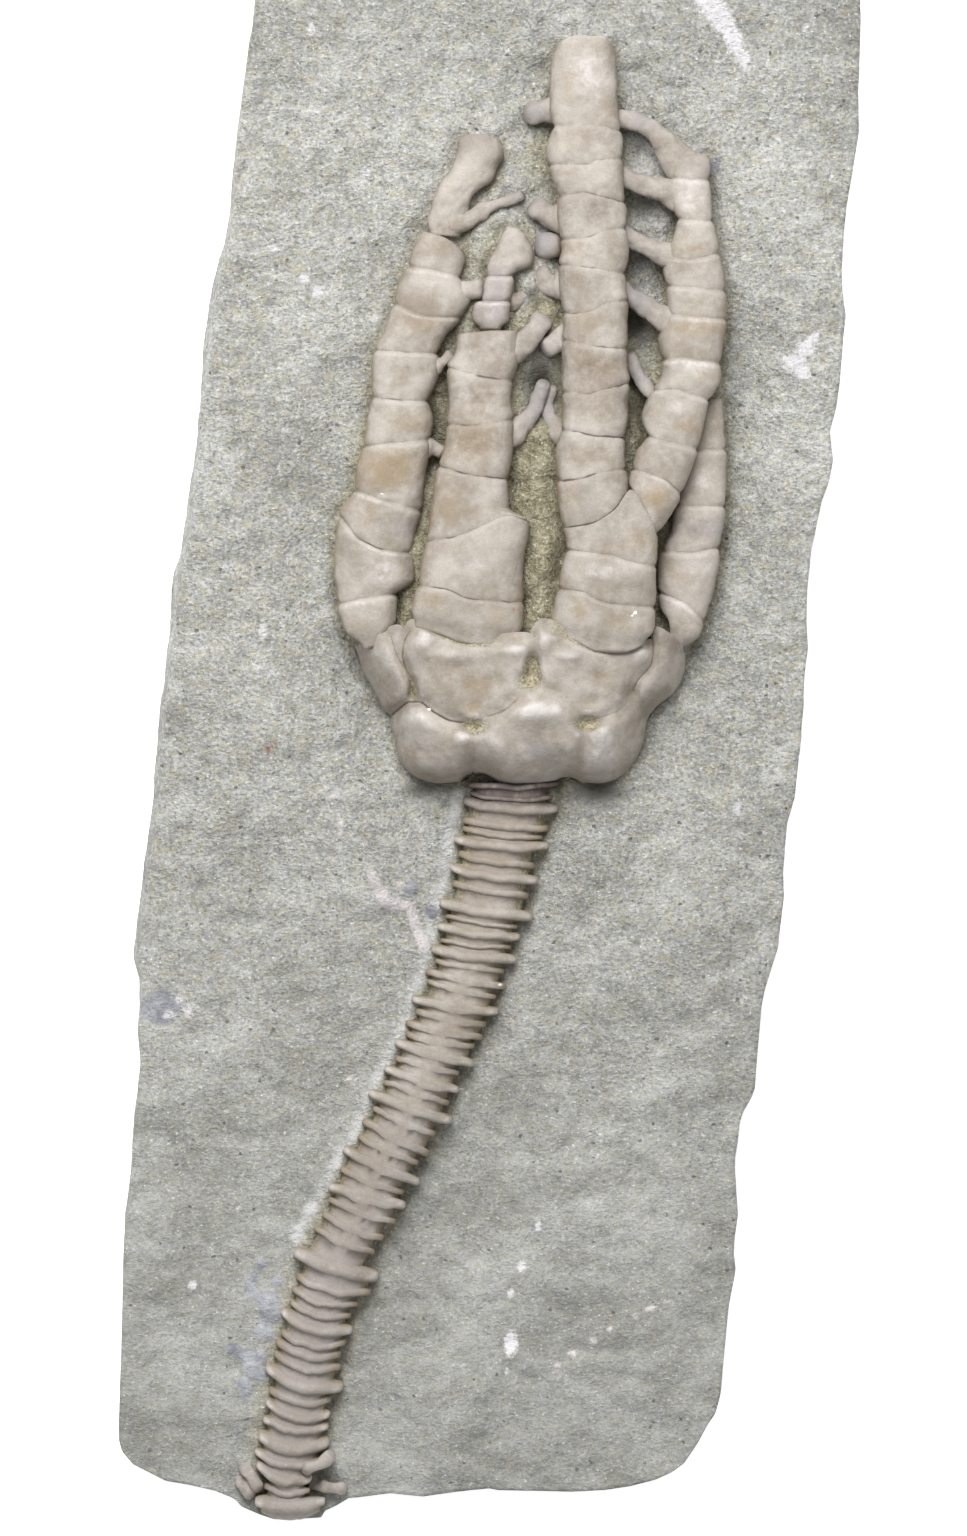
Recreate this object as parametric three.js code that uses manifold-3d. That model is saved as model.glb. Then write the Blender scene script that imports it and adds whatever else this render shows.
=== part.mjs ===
// A fossil sea lily (crinoid) on the slab of siltstone that it was buried in: a cup of thick plates, arms of
// stacked ossicles with small side branches, and a ringed stem that runs to the lower edge of the slab. The slab
// lies on its flat underside with the fossil facing up. Millimetres: X to the right, Y from the stem towards the
// arm tips, Z up. The origin is the centre of the bounding box at the underside.
import * as THREE from "three";
import Module from "manifold-3d";

const wasm = await Module();
wasm.setup();

// Driving dimensions
const SLAB_TOP = 18; // thickness of the siltstone, and the level that every height below is counted from
const SLAB_CELL = 6; // spacing of the facets on the slab's face
const GAP = 0.3; // clearance round a piece that sits in or against another
const SEAT_DEPTH = 1.4; // how deep every fossil piece reaches into the slab
const CUP_HEIGHT = 9.6; // how far the cup swells above the slab's face
const ARM_RISE = 3.5; // greatest height of an arm above its widest line
const SUTURE_DEPTH = 0.3; // how far the joints between ossicles are sunk
const DISC_GROOVE = 0.65; // how far the grooves between the stem's discs are sunk
const THIN_DISC = 0.3; // how much smaller the thin discs are
const STEM_END_DROP = 0.6; // how much smaller the stem's broken end is
const TIP_DROP = 1.4; // how far the ridge comes down at an arm's free tip
const PLATE_INSET = 0.12; // how far a cup plate stands inside its outline
const POCKET_TOP = 30; // height that clears every piece, for the pockets that the pieces sit in

// Cross-sections as [across, up]: 1 and -1 are the edges, an `up` of 1 is the ridge, and null is the seat
const ARM_SECTION = [
  [-1, null], [-1, 0], [-0.87, 0.5], [-0.5, 0.87], [0, 1], [0.5, 0.87], [0.87, 0.5], [1, 0], [1, null],
];
const RAMULE_SECTION = [[-1, null], [-1, 0], [-0.55, 0.85], [0.55, 0.85], [1, 0], [1, null]];
const STEM_SECTION = [[-1, null], [-1, 0], [-0.74, 0.68], [-0.02, 1], [0.72, 0.7], [1, 0], [1, null]];
const POCKET_SECTION = [[-1, null], [-1, 1], [1, 1], [1, null]];
const CURVED_POCKET_SECTION = [[-1, null], [-1, 1], [0, 1], [1, 1], [1, null], [0, null]];

// The slab's outline seen from above, clockwise from the upper left corner
const SLAB_OUTLINE = [
  [-28.1, 91.8], [8, 91.8], [44.7, 91.8], [44.4, 78], [43.7, 69], [42.5, 62], [42.8, 53.5], [42.1, 44.5],
  [41, 38.5], [41.2, 35.8], [39.6, 28], [38.3, 20], [38.3, 13], [37.6, 4], [37, -4], [35.8, -9],
  [35.4, -17], [34.5, -23.5], [33, -28], [32.2, -38], [30.4, -43], [29.6, -49], [29.9, -54.5],
  [29.4, -59.5], [29, -65], [28.2, -72], [27.7, -77], [25.8, -81], [23.6, -85], [19.5, -87.1], [13, -88.2],
  [4, -88.2], [-0.5, -87.9], [-6.5, -88.8], [-11.5, -88.5], [-16.5, -88.9], [-19.7, -90.9], [-21, -91.5],
  [-23.5, -91.8], [-26.6, -91.4], [-28.8, -90.6], [-30.6, -89.3], [-35, -87.9], [-40.5, -86.1],
  [-43.6, -84.5], [-44.7, -81], [-44.4, -70], [-43.9, -54], [-43, -45], [-42.4, -35.5], [-42.2, -28.5],
  [-42.9, -24], [-41.9, -13.5], [-40.5, 0], [-39, 12], [-38.4, 19], [-36.7, 29.5], [-35, 43], [-34.5, 51],
  [-32.6, 60.3], [-31.2, 69], [-30.2, 78], [-29, 86.5],
];

// Middle line and half-width of the whole crown at a few distances along it: [y, x of the middle, half-width]
const CROWN_SPINE = [
  [-5, 3, 11], [0, 3.3, 14.6], [5, 3.7, 16.2], [13, 3.8, 20.4], [25, 4.4, 23.4], [45, 6.9, 21.2],
  [60, 9.1, 18.6], [75, 11, 13], [90, 11.5, 8],
];

// Swells and hollows of the slab's face: [x, y, radius across, radius along, height]
const FACE_SWELLS = [
  [6, 23, 3.2, 12, 2.4], // matrix standing between the two middle arms
  [6.2, 44.5, 2.4, 4.5, -3.4], // dark hollow above it
  [-9.4, 22, 2.4, 9, 1.6], [18.4, 47, 1.8, 7, -1.6], [-6, 42, 1.6, 7, -1.4], [1, 63, 6, 6, 1.2],
  [-6.5, -28, 14, 30, -0.7], // the trough that the stem was dug from
  [-17, -66, 12, 24, -0.7], [24, -62, 16, 18, -0.8], [-30, 50, 16, 40, 0.7], [36, 60, 12, 34, 0.6],
  [20, -25, 16, 20, 0.7],
];

// Siltstone that fills the pits between the cup's plates: [x, y, radius]
const CUP_PITS = [
  [5, 9.6, 2.4], [-1.8, 3.8, 1.6], [12, 4, 1.7], [-9.2, 8.6, 1.1],
];

// Cup plates: outline seen from above, anticlockwise, and how far the middle swells above the cup's own curve
const CUP_PLATES = {
  basal_left: {
    swell: 1.5,
    outline: [
      [-11.8, 4.8], [-11.5, 2.4], [-11.1, 0.2], [-10.1, -1.6], [-8.3, -2.8], [-6, -3.3], [-3.6, -3.2],
      [-2.1, -2.4], [-2, 0], [-2.2, 2.2], [-3.4, 3], [-3.7, 4], [-5.2, 4.7], [-6.8, 5.8], [-8, 7],
      [-9.5, 6.9], [-10.9, 6.1],
    ],
  },
  basal_centre: {
    swell: 2.2,
    outline: [
      [-1.3, 3], [-1.9, 1.8], [-1.8, 0], [-1.6, -2], [-0.6, -2.5], [1.2, -3.3], [3.2, -3.7], [5.4, -3.6],
      [7.5, -3.1], [9.3, -2.4], [10.4, -1], [10.5, 0.8], [10.6, 2.4], [10.1, 4.2], [9.8, 6.2], [8.4, 7.3],
      [6.6, 7.7], [4.8, 7.2], [3.2, 6.6], [1.5, 5.6], [0, 4.3],
    ],
  },
  basal_right: {
    swell: 1.6,
    outline: [
      [10.9, 2.2], [10.7, 0.4], [10, -1.2], [9.8, -2.8], [11.2, -3.2], [13, -3.3], [14.8, -2.9], [16.2, -2],
      [17.5, -0.4], [18.4, 1.7], [18.8, 3.9], [19.6, 5.4], [18.4, 6.2], [16.8, 6.8], [15.6, 5.5],
      [14.2, 4.7], [13.6, 3.6], [12.3, 2.7],
    ],
  },
  radial_far_left: {
    swell: 1,
    outline: [
      [-16.2, 12.8], [-15.4, 10.4], [-14.2, 8.2], [-12.7, 5.4], [-11.8, 5.1], [-10.9, 6.4], [-9.6, 7.2],
      [-9.3, 8.9], [-10, 10.2], [-10.5, 12.2], [-10.4, 14.2], [-11, 15.1], [-12, 14.8], [-12.3, 13.7],
      [-14.4, 12.9],
    ],
  },
  radial_left: {
    swell: 1.5,
    outline: [
      [-10.1, 13.4], [-10, 11.8], [-9.2, 10], [-8.4, 8.6], [-7.8, 7.2], [-6.6, 6.1], [-5, 4.9], [-3.4, 4.4],
      [-1, 5.1], [0.2, 5.2], [1.6, 6], [3.1, 7.1], [3.1, 8.4], [3.6, 9.6], [4.5, 11.3], [4.7, 12.8],
      [3.9, 13.4], [1.9, 13.3], [0, 12.8], [-2, 12.7], [-4.4, 13.1], [-6.4, 14.1], [-8.4, 14.9],
      [-9.6, 14.8],
    ],
  },
  radial_right: {
    swell: 1.5,
    outline: [
      [5, 13.9], [5.2, 12.4], [6, 10.7], [6.8, 9.8], [6.7, 8.8], [7.2, 8], [8.8, 7.6], [9.9, 6.8],
      [10.3, 5.9], [10.8, 5.1], [12.4, 5.2], [14, 5.4], [15.4, 6.1], [16.8, 7.5], [17.6, 9.1], [18.6, 10.2],
      [19.6, 11.8], [19.3, 12.7], [17.4, 12.3], [15, 11.8], [12.9, 12], [11.1, 12.8], [9.9, 13.7],
      [8.3, 14.6], [6.2, 15.2],
    ],
  },
  radial_far_right: {
    swell: 1.1,
    outline: [
      [20, 15.2], [19.8, 13.2], [20, 11.8], [19, 10.1], [18, 8.9], [17.2, 7.3], [18.7, 6.5], [19.9, 5.7],
      [22.3, 7.9], [23.4, 10.4], [23.5, 11.9], [22.4, 12.4], [21, 13.8],
    ],
  },
};

// Arms: rows of points from the left edge to the right edge, listed from the cup to the tip. `joint` marks the
// rows where two ossicles meet. `crest` is the height of the ridge above the slab at the start, the middle and the
// end. `free` arms end in a tip. `twigs` are the side branches that grow from an arm: half-width at the start
// and end, ridge height, middle line.
const joint = (...points) => ({ points, sunk: true });
const plain = (...points) => ({ points, sunk: false });
const twig = (half, crest, ...path) => ({ half, crest, path });
const ARMS = {
  arm_right_trunk: {
    crest: [10.2, 10.2, 9.9],
    rows: [
      joint([6.6, 15.2], [10, 14.2], [13, 12.9], [16.2, 12.8], [19.4, 13.5]),
      plain([7.4, 17.8], [19.7, 15.6]),
      joint([8, 20.1], [11, 19.7], [14, 18.4], [19.8, 17.8]),
      plain([8.6, 22.5], [19.9, 20.4]),
      joint([9.2, 24.7], [14, 24.2], [17, 23.3], [20, 22.8]),
      plain([8.9, 27.4], [12.5, 28], [15, 29.5], [17, 32.2], [18.4, 30], [20.3, 26.3]),
    ],
  },
  arm_right_left_fork: {
    free: true,
    crest: [9.9, 8.9, 6],
    rows: [
      plain([8.7, 27.9], [12.3, 28.5], [14.8, 30.1], [16.6, 32.8]),
      joint([7.9, 33], [10.5, 33.2], [13.5, 34], [16.3, 34.4]),
      plain([7.9, 36], [16.2, 36.4]),
      joint([8.5, 39], [10.5, 38.9], [13, 38.4], [16.2, 38.2]),
      plain([8.8, 41.4], [16.6, 41.6]),
      joint([8.7, 43.6], [11.5, 43.5], [14, 44], [16.7, 44.7]),
      plain([8.6, 46.2], [16.4, 46.6]),
      joint([8.7, 49.9], [12.5, 49.2], [16.4, 48.8]),
      plain([8.8, 51.6], [16.6, 52]),
      joint([8.8, 53.1], [12, 53.4], [14, 54.3], [16.5, 54.6]),
      plain([8.3, 56.3], [16.2, 56.2]),
      joint([8.3, 58.9], [12, 58.6], [16.2, 57.9]),
      plain([8.6, 60.6], [16.6, 60.8]),
      joint([8.4, 61.9], [11.8, 62.3], [14, 63.1], [16.3, 63.3]),
      plain([8, 65], [16.4, 65.2]),
      joint([8.1, 67], [11, 67.7], [13.5, 67.2], [16.2, 66.5]),
      plain([7.5, 69.4], [16.1, 69.2]),
      joint([7.2, 70.9], [11.5, 71], [13, 71.5], [15.9, 71.7]),
      plain([6.8, 72.6], [15.9, 73.4]),
      joint([7.4, 75.6], [12.5, 75.8], [15.7, 75]),
      plain([7.2, 79.5], [15.3, 79.5]),
      plain([7.3, 82.8], [15.1, 82.8]),
      plain([7.9, 85.2], [10, 86.1], [13.4, 86.1], [14.9, 85]),
    ],
    twigs: [
      twig([1.4, 1.2], 4.6, [9.4, 49.5], [6.9, 49.5]),
      twig([1.5, 1.2], 4.4, [9.4, 57.1], [6.8, 57.5], [5.7, 58.2]),
      twig([1.5, 1.4], 3.9, [9.4, 61.3], [5.8, 61.9]),
      twig([1.5, 1.1], 4.2, [9.4, 64.9], [6.4, 64.8], [5.2, 65.4]),
      twig([1.3, 1.1], 2.4, [8.4, 77.2], [5.2, 76.9]),
      twig([0.9, 0.7], 3.6, [9, 38.6], [7.2, 40.6], [7.5, 43]),
    ],
  },
  arm_right_right_fork: {
    free: true,
    crest: [8.6, 7, 4.4],
    rows: [
      plain([17.4, 33.2], [18.8, 30.4], [20.6, 27]),
      joint([18.1, 34.4], [21, 33.1], [22.9, 31.5]),
      plain([17.9, 36.4], [24, 34.2]),
      joint([18.9, 38.4], [20.6, 37.9], [24.9, 36.9]),
      plain([18.2, 40.6], [25.7, 40]),
      joint([19.4, 43.9], [22, 44], [26.3, 42.7]),
      plain([20.5, 45.7], [27.4, 45]),
      joint([20.6, 47.5], [23, 47.8], [27.7, 47.2]),
      plain([20.3, 50], [28, 49.8]),
      joint([21.4, 53], [28.3, 52.4]),
      joint([21, 56.4], [24, 56.2], [28.2, 55.8]),
      plain([20.9, 58.2], [27.9, 58.4]),
      joint([21.2, 60.1], [24, 59.6], [27.5, 60.4]),
      joint([22.6, 64.4], [26.8, 64.2]),
      plain([21.6, 67], [26.6, 66.8]),
      joint([21.6, 69.4], [26.4, 69.2]),
      plain([22.2, 71.4], [24.5, 71.9], [26.2, 71.9]),
    ],
    twigs: [
      twig([1, 0.6], 4.4, [20.6, 42.6], [17.9, 44.9], [17.1, 47]),
      twig([1.3, 1], 5.6, [22.6, 51.8], [18.8, 54.2], [16.9, 56]),
      twig([1.1, 0.9], 5.4, [22.8, 59.9], [19.2, 61], [17, 62.3]),
      twig([1.3, 1.1], 4.9, [23, 66.8], [19, 68.6], [16.8, 70]),
      twig([1.4, 1], 3.4, [23.4, 71.2], [20.9, 74.4], [18.8, 76.2], [16.4, 76.7]),
    ],
  },
  arm_left: {
    crest: [10, 9.2, 7.4],
    rows: [
      joint([-9.9, 16], [-6, 14.9], [-3, 13.7], [0.5, 13.4], [3.9, 13.9]),
      plain([-9.3, 18.3], [4, 16]),
      joint([-8.6, 20.5], [-5.5, 20], [-2.3, 18.9], [4.1, 18.4]),
      plain([-8.3, 23.3], [4, 22.3]),
      joint([-7.7, 25.8], [-4, 26.4], [-1, 27.6], [1.6, 28.3], [4.3, 27.4]),
      plain([-7.1, 29.8], [2.2, 29.8]),
      joint([-6.2, 34.8], [-2, 33.7], [2.2, 33.2]),
      plain([-5.5, 37.3], [2.8, 36.6]),
      joint([-5.3, 39.8], [-1.5, 39.7], [2.9, 40.4]),
      plain([-5, 43], [2.5, 42.8]),
      joint([-5.2, 46.6], [-1, 45.6], [2.8, 45]),
      plain([-4.3, 48.4], [3.5, 47.8]),
      plain([-3.9, 50.4], [0, 50.7], [3.6, 50.8]),
    ],
    twigs: [
      twig([1.3, 0.9], 4.6, [2.2, 39], [4.8, 41.4], [6.3, 44.6]),
      twig([1.4, 1.1], 5.6, [2.6, 49.2], [5, 50.4], [6.1, 51.9]),
    ],
  },
  arm_left_tip: {
    free: true,
    crest: [4.6, 4.6, 4],
    rows: [
      plain([-1.4, 51.4], [2.1, 51.3]),
      plain([-1.8, 52.9], [2.5, 53]),
      joint([-0.6, 54.4], [1.9, 54.4]),
      joint([-0.3, 57.2], [2.8, 57.2]),
      plain([-0.6, 58.4], [2.8, 58.4]),
      joint([0.4, 59.7], [3.6, 58.8]),
      plain([1.4, 60.8], [5, 59.6]),
      plain([2.4, 63.2], [4.1, 62.8]),
    ],
  },
  arm_far_left: {
    crest: [6.4, 6.8, 4.6],
    rows: [
      joint([-16.4, 13.1], [-14.3, 13.2], [-12.3, 14]),
      plain([-17.6, 15.6], [-11.2, 16.6]),
      joint([-18.3, 18.2], [-14.5, 19], [-11.2, 19.4]),
      plain([-18.6, 22.5], [-9, 21.2]),
      joint([-18.2, 28.8], [-15.5, 26], [-12.6, 24.7], [-9.4, 24.3]),
      joint([-16.4, 31.9], [-8.3, 29.4]),
      plain([-16, 34.6], [-7.8, 33.4]),
      joint([-15.2, 37.2], [-7.1, 38]),
      plain([-14.6, 40.2], [-6.7, 40.3]),
      joint([-14.2, 43], [-7.2, 42.5]),
      plain([-14.1, 46], [-6.2, 46]),
      joint([-13.9, 48.7], [-6.1, 48.3]),
      plain([-12.7, 51], [-5, 50.8]),
      joint([-11.5, 54.3], [-7.5, 52.8], [-3.4, 52.5]),
      plain([-10.8, 56.8], [-2.4, 55.2]),
      joint([-9.9, 58.8], [-6.5, 58.3], [-3.4, 57.4]),
      plain([-9.2, 61], [-3.5, 60.3]),
      plain([-8.4, 62.5], [-5, 62]),
    ],
    twigs: [
      twig([1, 0.8], 4.4, [-8.4, 37], [-5.9, 37]),
      twig([1.2, 1.1], 4, [-7.4, 46.9], [-5.2, 47.6]),
      twig([0.9, 0.8], 4.4, [-4, 56], [-1.3, 56.4]),
    ],
  },
  arm_far_left_tip: {
    free: true,
    crest: [3.4, 3.3, 2.6],
    rows: [
      plain([-6.9, 63.5], [-3.6, 62.6]),
      plain([-7.6, 65.2], [-2.4, 64]),
      plain([-6.2, 67.6], [-2, 67]),
      plain([-4.3, 70.8], [0.7, 69.4]),
      plain([-3.9, 73.2], [1.4, 72]),
      plain([-2.6, 74.7], [0.4, 73.9]),
    ],
    twigs: [
      twig([1.2, 0.6], 2.8, [-4, 64.6], [0.6, 66.2], [3.4, 67.3]),
    ],
  },
  arm_far_right: {
    free: true,
    crest: [4.6, 4.7, 3],
    rows: [
      plain([20.6, 16.2], [22, 14], [23.4, 12.4]),
      plain([20.3, 17.8], [25, 14.2]),
      joint([20.2, 19.6], [22.3, 18.9], [24.2, 17.8], [25.8, 16.2]),
      plain([20.2, 22.2], [27, 20]),
      joint([20.6, 24.6], [24, 24.4], [27.6, 25]),
      plain([21.8, 27.4], [28, 27.6]),
      joint([23.6, 30.1], [28.2, 29.9]),
      plain([24, 33.2], [28.3, 33]),
      joint([25, 36.7], [28.2, 36.8]),
      plain([25.6, 39.8], [28.1, 39.8]),
      plain([26.3, 42.4], [27.9, 42.6]),
    ],
  },
};

// Loose chips of the stem that lie against its foot, given as the side branches are
const STEM_CHIPS = {
  stem_chip_left_upper: twig([0.8, 0.8], 2.2, [-29.7, -85], [-27.9, -87.7]),
  stem_chip_left_lower: twig([0.8, 0.8], 1.6, [-30.3, -86.3], [-28.8, -88.5]),
  stem_chip_right_upper: twig([0.85, 0.7], 4.2, [-23.2, -85.6], [-21, -85.2], [-19.3, -84]),
  stem_chip_right_lower: twig([0.8, 0.6], 2.6, [-21.6, -87.1], [-19.8, -87.7], [-17.8, -88]),
};

// Main discs of the stem from the cup down: left end, right end, and how far the middle leans to the foot.
// A thinner disc, sunk a little, stands between each pair.
const STEM_DISCS = [
  [-2.6, -1.6, 7.8, -1.4, 0.5], [-2.9, -3.9, 8.3, -3.6, 0.5], [-2.9, -5.7, 8.1, -6.3, 0.5],
  [-3.3, -7.4, 7, -8.5, 0.4], [-4.3, -9.9, 6.9, -10.8, 0.4], [-4, -11.6, 5.4, -12.9, 0.4],
  [-4.7, -13.2, 5.6, -14.8, 0.3], [-4.4, -15.4, 4.6, -16.7, 0.3], [-5.8, -17.4, 4.9, -18.9, 0.3],
  [-6.1, -20.2, 3.5, -21.5, 0.3], [-7.1, -23.1, 3.2, -24.4, 0.3], [-7.8, -26, 1.9, -27.5, 0.3],
  [-9.6, -28.9, 1.1, -30.4, 0.3], [-10.6, -31.7, -1, -33.7, 0.3], [-11.7, -34.3, -2.1, -36.8, 0.3],
  [-12.8, -37.2, -3.9, -40.1, 0.3], [-14.5, -40.2, -4.9, -43.6, 0.3], [-15.4, -43.7, -7.3, -47.3, 0.3],
  [-17.5, -47.3, -8.6, -50.9, 0.3], [-19.3, -51.2, -10.4, -54, 0.4], [-20.7, -54.6, -12.9, -57.6, 0.5],
  [-23.7, -59.5, -13.6, -62, 0.6], [-24.1, -63.4, -15, -64.4, 0.8], [-24.9, -66.4, -16.5, -68.4, 1],
  [-25.7, -69.8, -17.7, -71.3, 1.1], [-26.9, -73.2, -17.8, -75.2, 1.3], [-27, -77.6, -19.2, -79, 1.5],
  [-27.8, -81.4, -19.5, -82.3, 1.5], [-27.8, -84.4, -20.3, -84.6, 1.4], [-27.4, -86.8, -21.6, -86.8, 1.1],
  [-28, -89.1, -20.2, -88.9, 0.9], [-26.8, -91.1, -21.2, -91.1, 0.4],
];
const STEM_CREST = [4.1, 4.6, 3.6]; // height of the ridge at the cup, half-way and at the foot

// Small helpers
const blend = (a, b, t) => a + (b - a) * t;
const bump = (distance) => Math.exp(-distance * distance);
const alongThree = ([a, b, c], t) => (t < 0.5 ? blend(a, b, 2 * t) : blend(b, c, 2 * t - 1));

// Reads a table of [key, ...values] at any key, with straight lines between its rows.
function lookUp(table, key) {
  const last = table.length - 1;
  if (key <= table[0][0]) return table[0].slice(1);
  if (key >= table[last][0]) return table[last].slice(1);
  const k = table.findIndex((row) => row[0] > key) - 1;
  const t = (key - table[k][0]) / (table[k + 1][0] - table[k][0]);
  return table[k].slice(1).map((value, i) => blend(value, table[k + 1][i + 1], t));
}

// The point a share `t` of the way along a line of plan points.
function pointAlong(points, t) {
  const place = Math.min(t, 0.99999) * (points.length - 1);
  const k = Math.floor(place);
  return [0, 1].map((i) => blend(points[k][i], points[k + 1][i], place - k));
}

// How far across the crown a point lies: 0 on its middle line and 1 at its edge.
function acrossCrown(x, y) {
  const [middle, half] = lookUp(CROWN_SPINE, y);
  return Math.abs(x - middle) / half;
}

// Height of the cup's curve above the slab's face.
function cupCurve(x, y) {
  const across = Math.min(acrossCrown(x, y), 0.97);
  const foot = Math.max(0, (6 - y) / 10);
  return CUP_HEIGHT * Math.sqrt(1 - across * across) * (1 - 0.42 * foot * foot);
}

// Height of the slab's face above SLAB_TOP: the filling of the crown, the dug moat round it, and slow swells.
function faceHeight(x, y) {
  const across = acrossCrown(x, y);
  const reach = THREE.MathUtils.smoothstep(y, -4, 4) * (1 - THREE.MathUtils.smoothstep(y, 40, 84));
  const filling = 4.2 * reach * Math.max(0, 1 - across * across);
  const moat = -1.1 * reach * bump((across - 1.12) / 0.16);
  const ripple = 0.25 * Math.sin(0.21 * x + 0.13 * y) + 0.2 * Math.sin(0.17 * y - 0.31 * x);
  const swell = ([cx, cy, rx, ry, height]) => height * bump(Math.hypot((x - cx) / rx, (y - cy) / ry));
  return FACE_SWELLS.reduce((sum, row) => sum + swell(row), filling + moat + ripple);
}

const middleOf = (ring) => ring[0].map((_, axis) => ring.reduce((sum, p) => sum + p[axis], 0) / ring.length);

// A closed surface through rings of equal length, listed from bottom to top or start to end, with a point in
// the middle of each end. It is turned the right way round if its rings ran the other way.
function skin(rings) {
  const sides = rings[0].length;
  const corners = rings.flat();
  const faces = [];
  for (let k = 0; k + 1 < rings.length; k++)
    for (let i = 0; i < sides; i++) {
      const a = k * sides + i;
      const b = k * sides + ((i + 1) % sides);
      faces.push(a, b, b + sides, a, b + sides, a + sides);
    }
  const first = corners.push(middleOf(rings[0])) - 1;
  const last = corners.push(middleOf(rings[rings.length - 1])) - 1;
  const base = (rings.length - 1) * sides;
  for (let i = 0; i < sides; i++) {
    const next = (i + 1) % sides;
    faces.push(first, next, i, last, base + i, base + next);
  }
  const solid = solidOf(corners, faces);
  if (solid.volume() > 0) return solid;
  for (let i = 0; i < faces.length; i += 3) [faces[i], faces[i + 1]] = [faces[i + 1], faces[i]];
  return solidOf(corners, faces);
}

function solidOf(corners, faces) {
  const vertProperties = new Float32Array(corners.flat());
  return new wasm.Manifold(new wasm.Mesh({ numProp: 3, vertProperties, triVerts: new Uint32Array(faces) }));
}

const joinAll = (solids) => solids.reduce((sum, solid) => sum.add(solid));

// The largest body of a solid, without slivers that a cut left behind.
const larger = (one, other) => (other.volume() > one.volume() ? other : one);
const mainBody = (solid) => solid.decompose().reduce(larger);

// One ring round a limb, whose edges are the ends of a row of plan points. `grow` moves the ring outwards.
function limbRing(section, points, crest, rise, grow) {
  const [start, end] = [points[0], points[points.length - 1]];
  const stretch = 1 + (2 * grow) / Math.hypot(end[0] - start[0], end[1] - start[1]);
  const [middleX, middleY] = [(start[0] + end[0]) / 2, (start[1] + end[1]) / 2];
  return section.map(([across, up]) => {
    const [x, y] = pointAlong(points, (across + 1) / 2);
    const z = up === null ? -SEAT_DEPTH - grow : crest - rise + up * (rise + (grow && POCKET_TOP));
    return [middleX + (x - middleX) * stretch, middleY + (y - middleY) * stretch, SLAB_TOP + z];
  });
}

// Pushes the two end rings of a limb outwards along it by `grow`.
function lengthen(rings, grow) {
  if (!grow) return rings;
  const push = (ring, inner) => {
    const [a, b] = [middleOf(ring), middleOf(inner)];
    const share = grow / Math.hypot(a[0] - b[0], a[1] - b[1]);
    return ring.map(([x, y, z]) => [x + share * (a[0] - b[0]), y + share * (a[1] - b[1]), z]);
  };
  const n = rings.length;
  return [push(rings[0], rings[1]), ...rings.slice(1, n - 1), push(rings[n - 1], rings[n - 2])];
}

// An arm with its side branches. With a `grow` it is the pocket round them, which stands open upwards.
function armSolid({ crest, rows, twigs = [], free = false }, grow) {
  const rings = rows.map(({ points, sunk }, k) => {
    const [start, end] = [points[0], points[points.length - 1]];
    const rise = Math.min(ARM_RISE, 0.46 * Math.hypot(end[0] - start[0], end[1] - start[1]));
    const sink = sunk ? SUTURE_DEPTH : 0;
    const drop = free && k === rows.length - 1 ? TIP_DROP : 0;
    const height = alongThree(crest, k / (rows.length - 1)) - sink - drop;
    return limbRing(grow ? CURVED_POCKET_SECTION : ARM_SECTION, points, height, rise - sink, grow);
  });
  return joinAll([skin(lengthen(rings, grow)), ...twigs.map((branch) => twigSolid(branch, grow))]);
}

// A side branch: tapered along its middle line, flat-ended where it broke.
function twigSolid({ path, half, crest }, grow) {
  const rings = path.map(([x, y], k) => {
    const [x0, y0] = path[Math.max(0, k - 1)];
    const [x1, y1] = path[Math.min(path.length - 1, k + 1)];
    const radius = blend(half[0], half[1], k / (path.length - 1));
    const share = radius / Math.hypot(x1 - x0, y1 - y0);
    const [dx, dy] = [share * (y1 - y0), share * (x0 - x1)];
    const edges = [[x - dx, y - dy], [x + dx, y + dy]];
    return limbRing(grow ? POCKET_SECTION : RAMULE_SECTION, edges, crest, radius, grow);
  });
  return skin(lengthen(rings, grow));
}

// The stem: main discs with a thinner disc between each pair, and grooves between all of them.
function stemSolid(grow) {
  const rings = [];
  const ringAt = (disc, t, sink) => {
    const [lx, ly, rx, ry, lean] = disc;
    const length = Math.hypot(rx - lx, ry - ly);
    const half = length / 2 + grow - sink;
    const crest = alongThree(STEM_CREST, t) - sink;
    const rise = 0.86 * (length / 2) - sink;
    return (grow ? POCKET_SECTION : STEM_SECTION).map(([across, up]) => {
      const shift = lean * Math.max(0, 1 - across * across);
      const z = up === null ? -SEAT_DEPTH - grow : crest - rise + up * (rise + (grow && POCKET_TOP));
      return [
        (lx + rx) / 2 + ((rx - lx) * across * half + (ry - ly) * shift) / length,
        (ly + ry) / 2 + ((ry - ly) * across * half - (rx - lx) * shift) / length,
        SLAB_TOP + z,
      ];
    });
  };
  const count = STEM_DISCS.length;
  const steps = grow ? [] : [[0.25, DISC_GROOVE], [0.5, THIN_DISC], [0.75, DISC_GROOVE]];
  for (let k = 0; k + 1 < count; k++) {
    const [here, next] = [STEM_DISCS[k], STEM_DISCS[k + 1]];
    rings.push(ringAt(here, k / (count - 1), 0));
    for (const [t, sink] of steps) {
      const between = here.map((value, n) => blend(value, next[n], t));
      rings.push(ringAt(between, (k + t) / (count - 1), sink));
    }
  }
  rings.push(ringAt(STEM_DISCS[count - 1], 1, grow ? 0 : STEM_END_DROP));
  return skin(lengthen(rings, grow));
}

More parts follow.
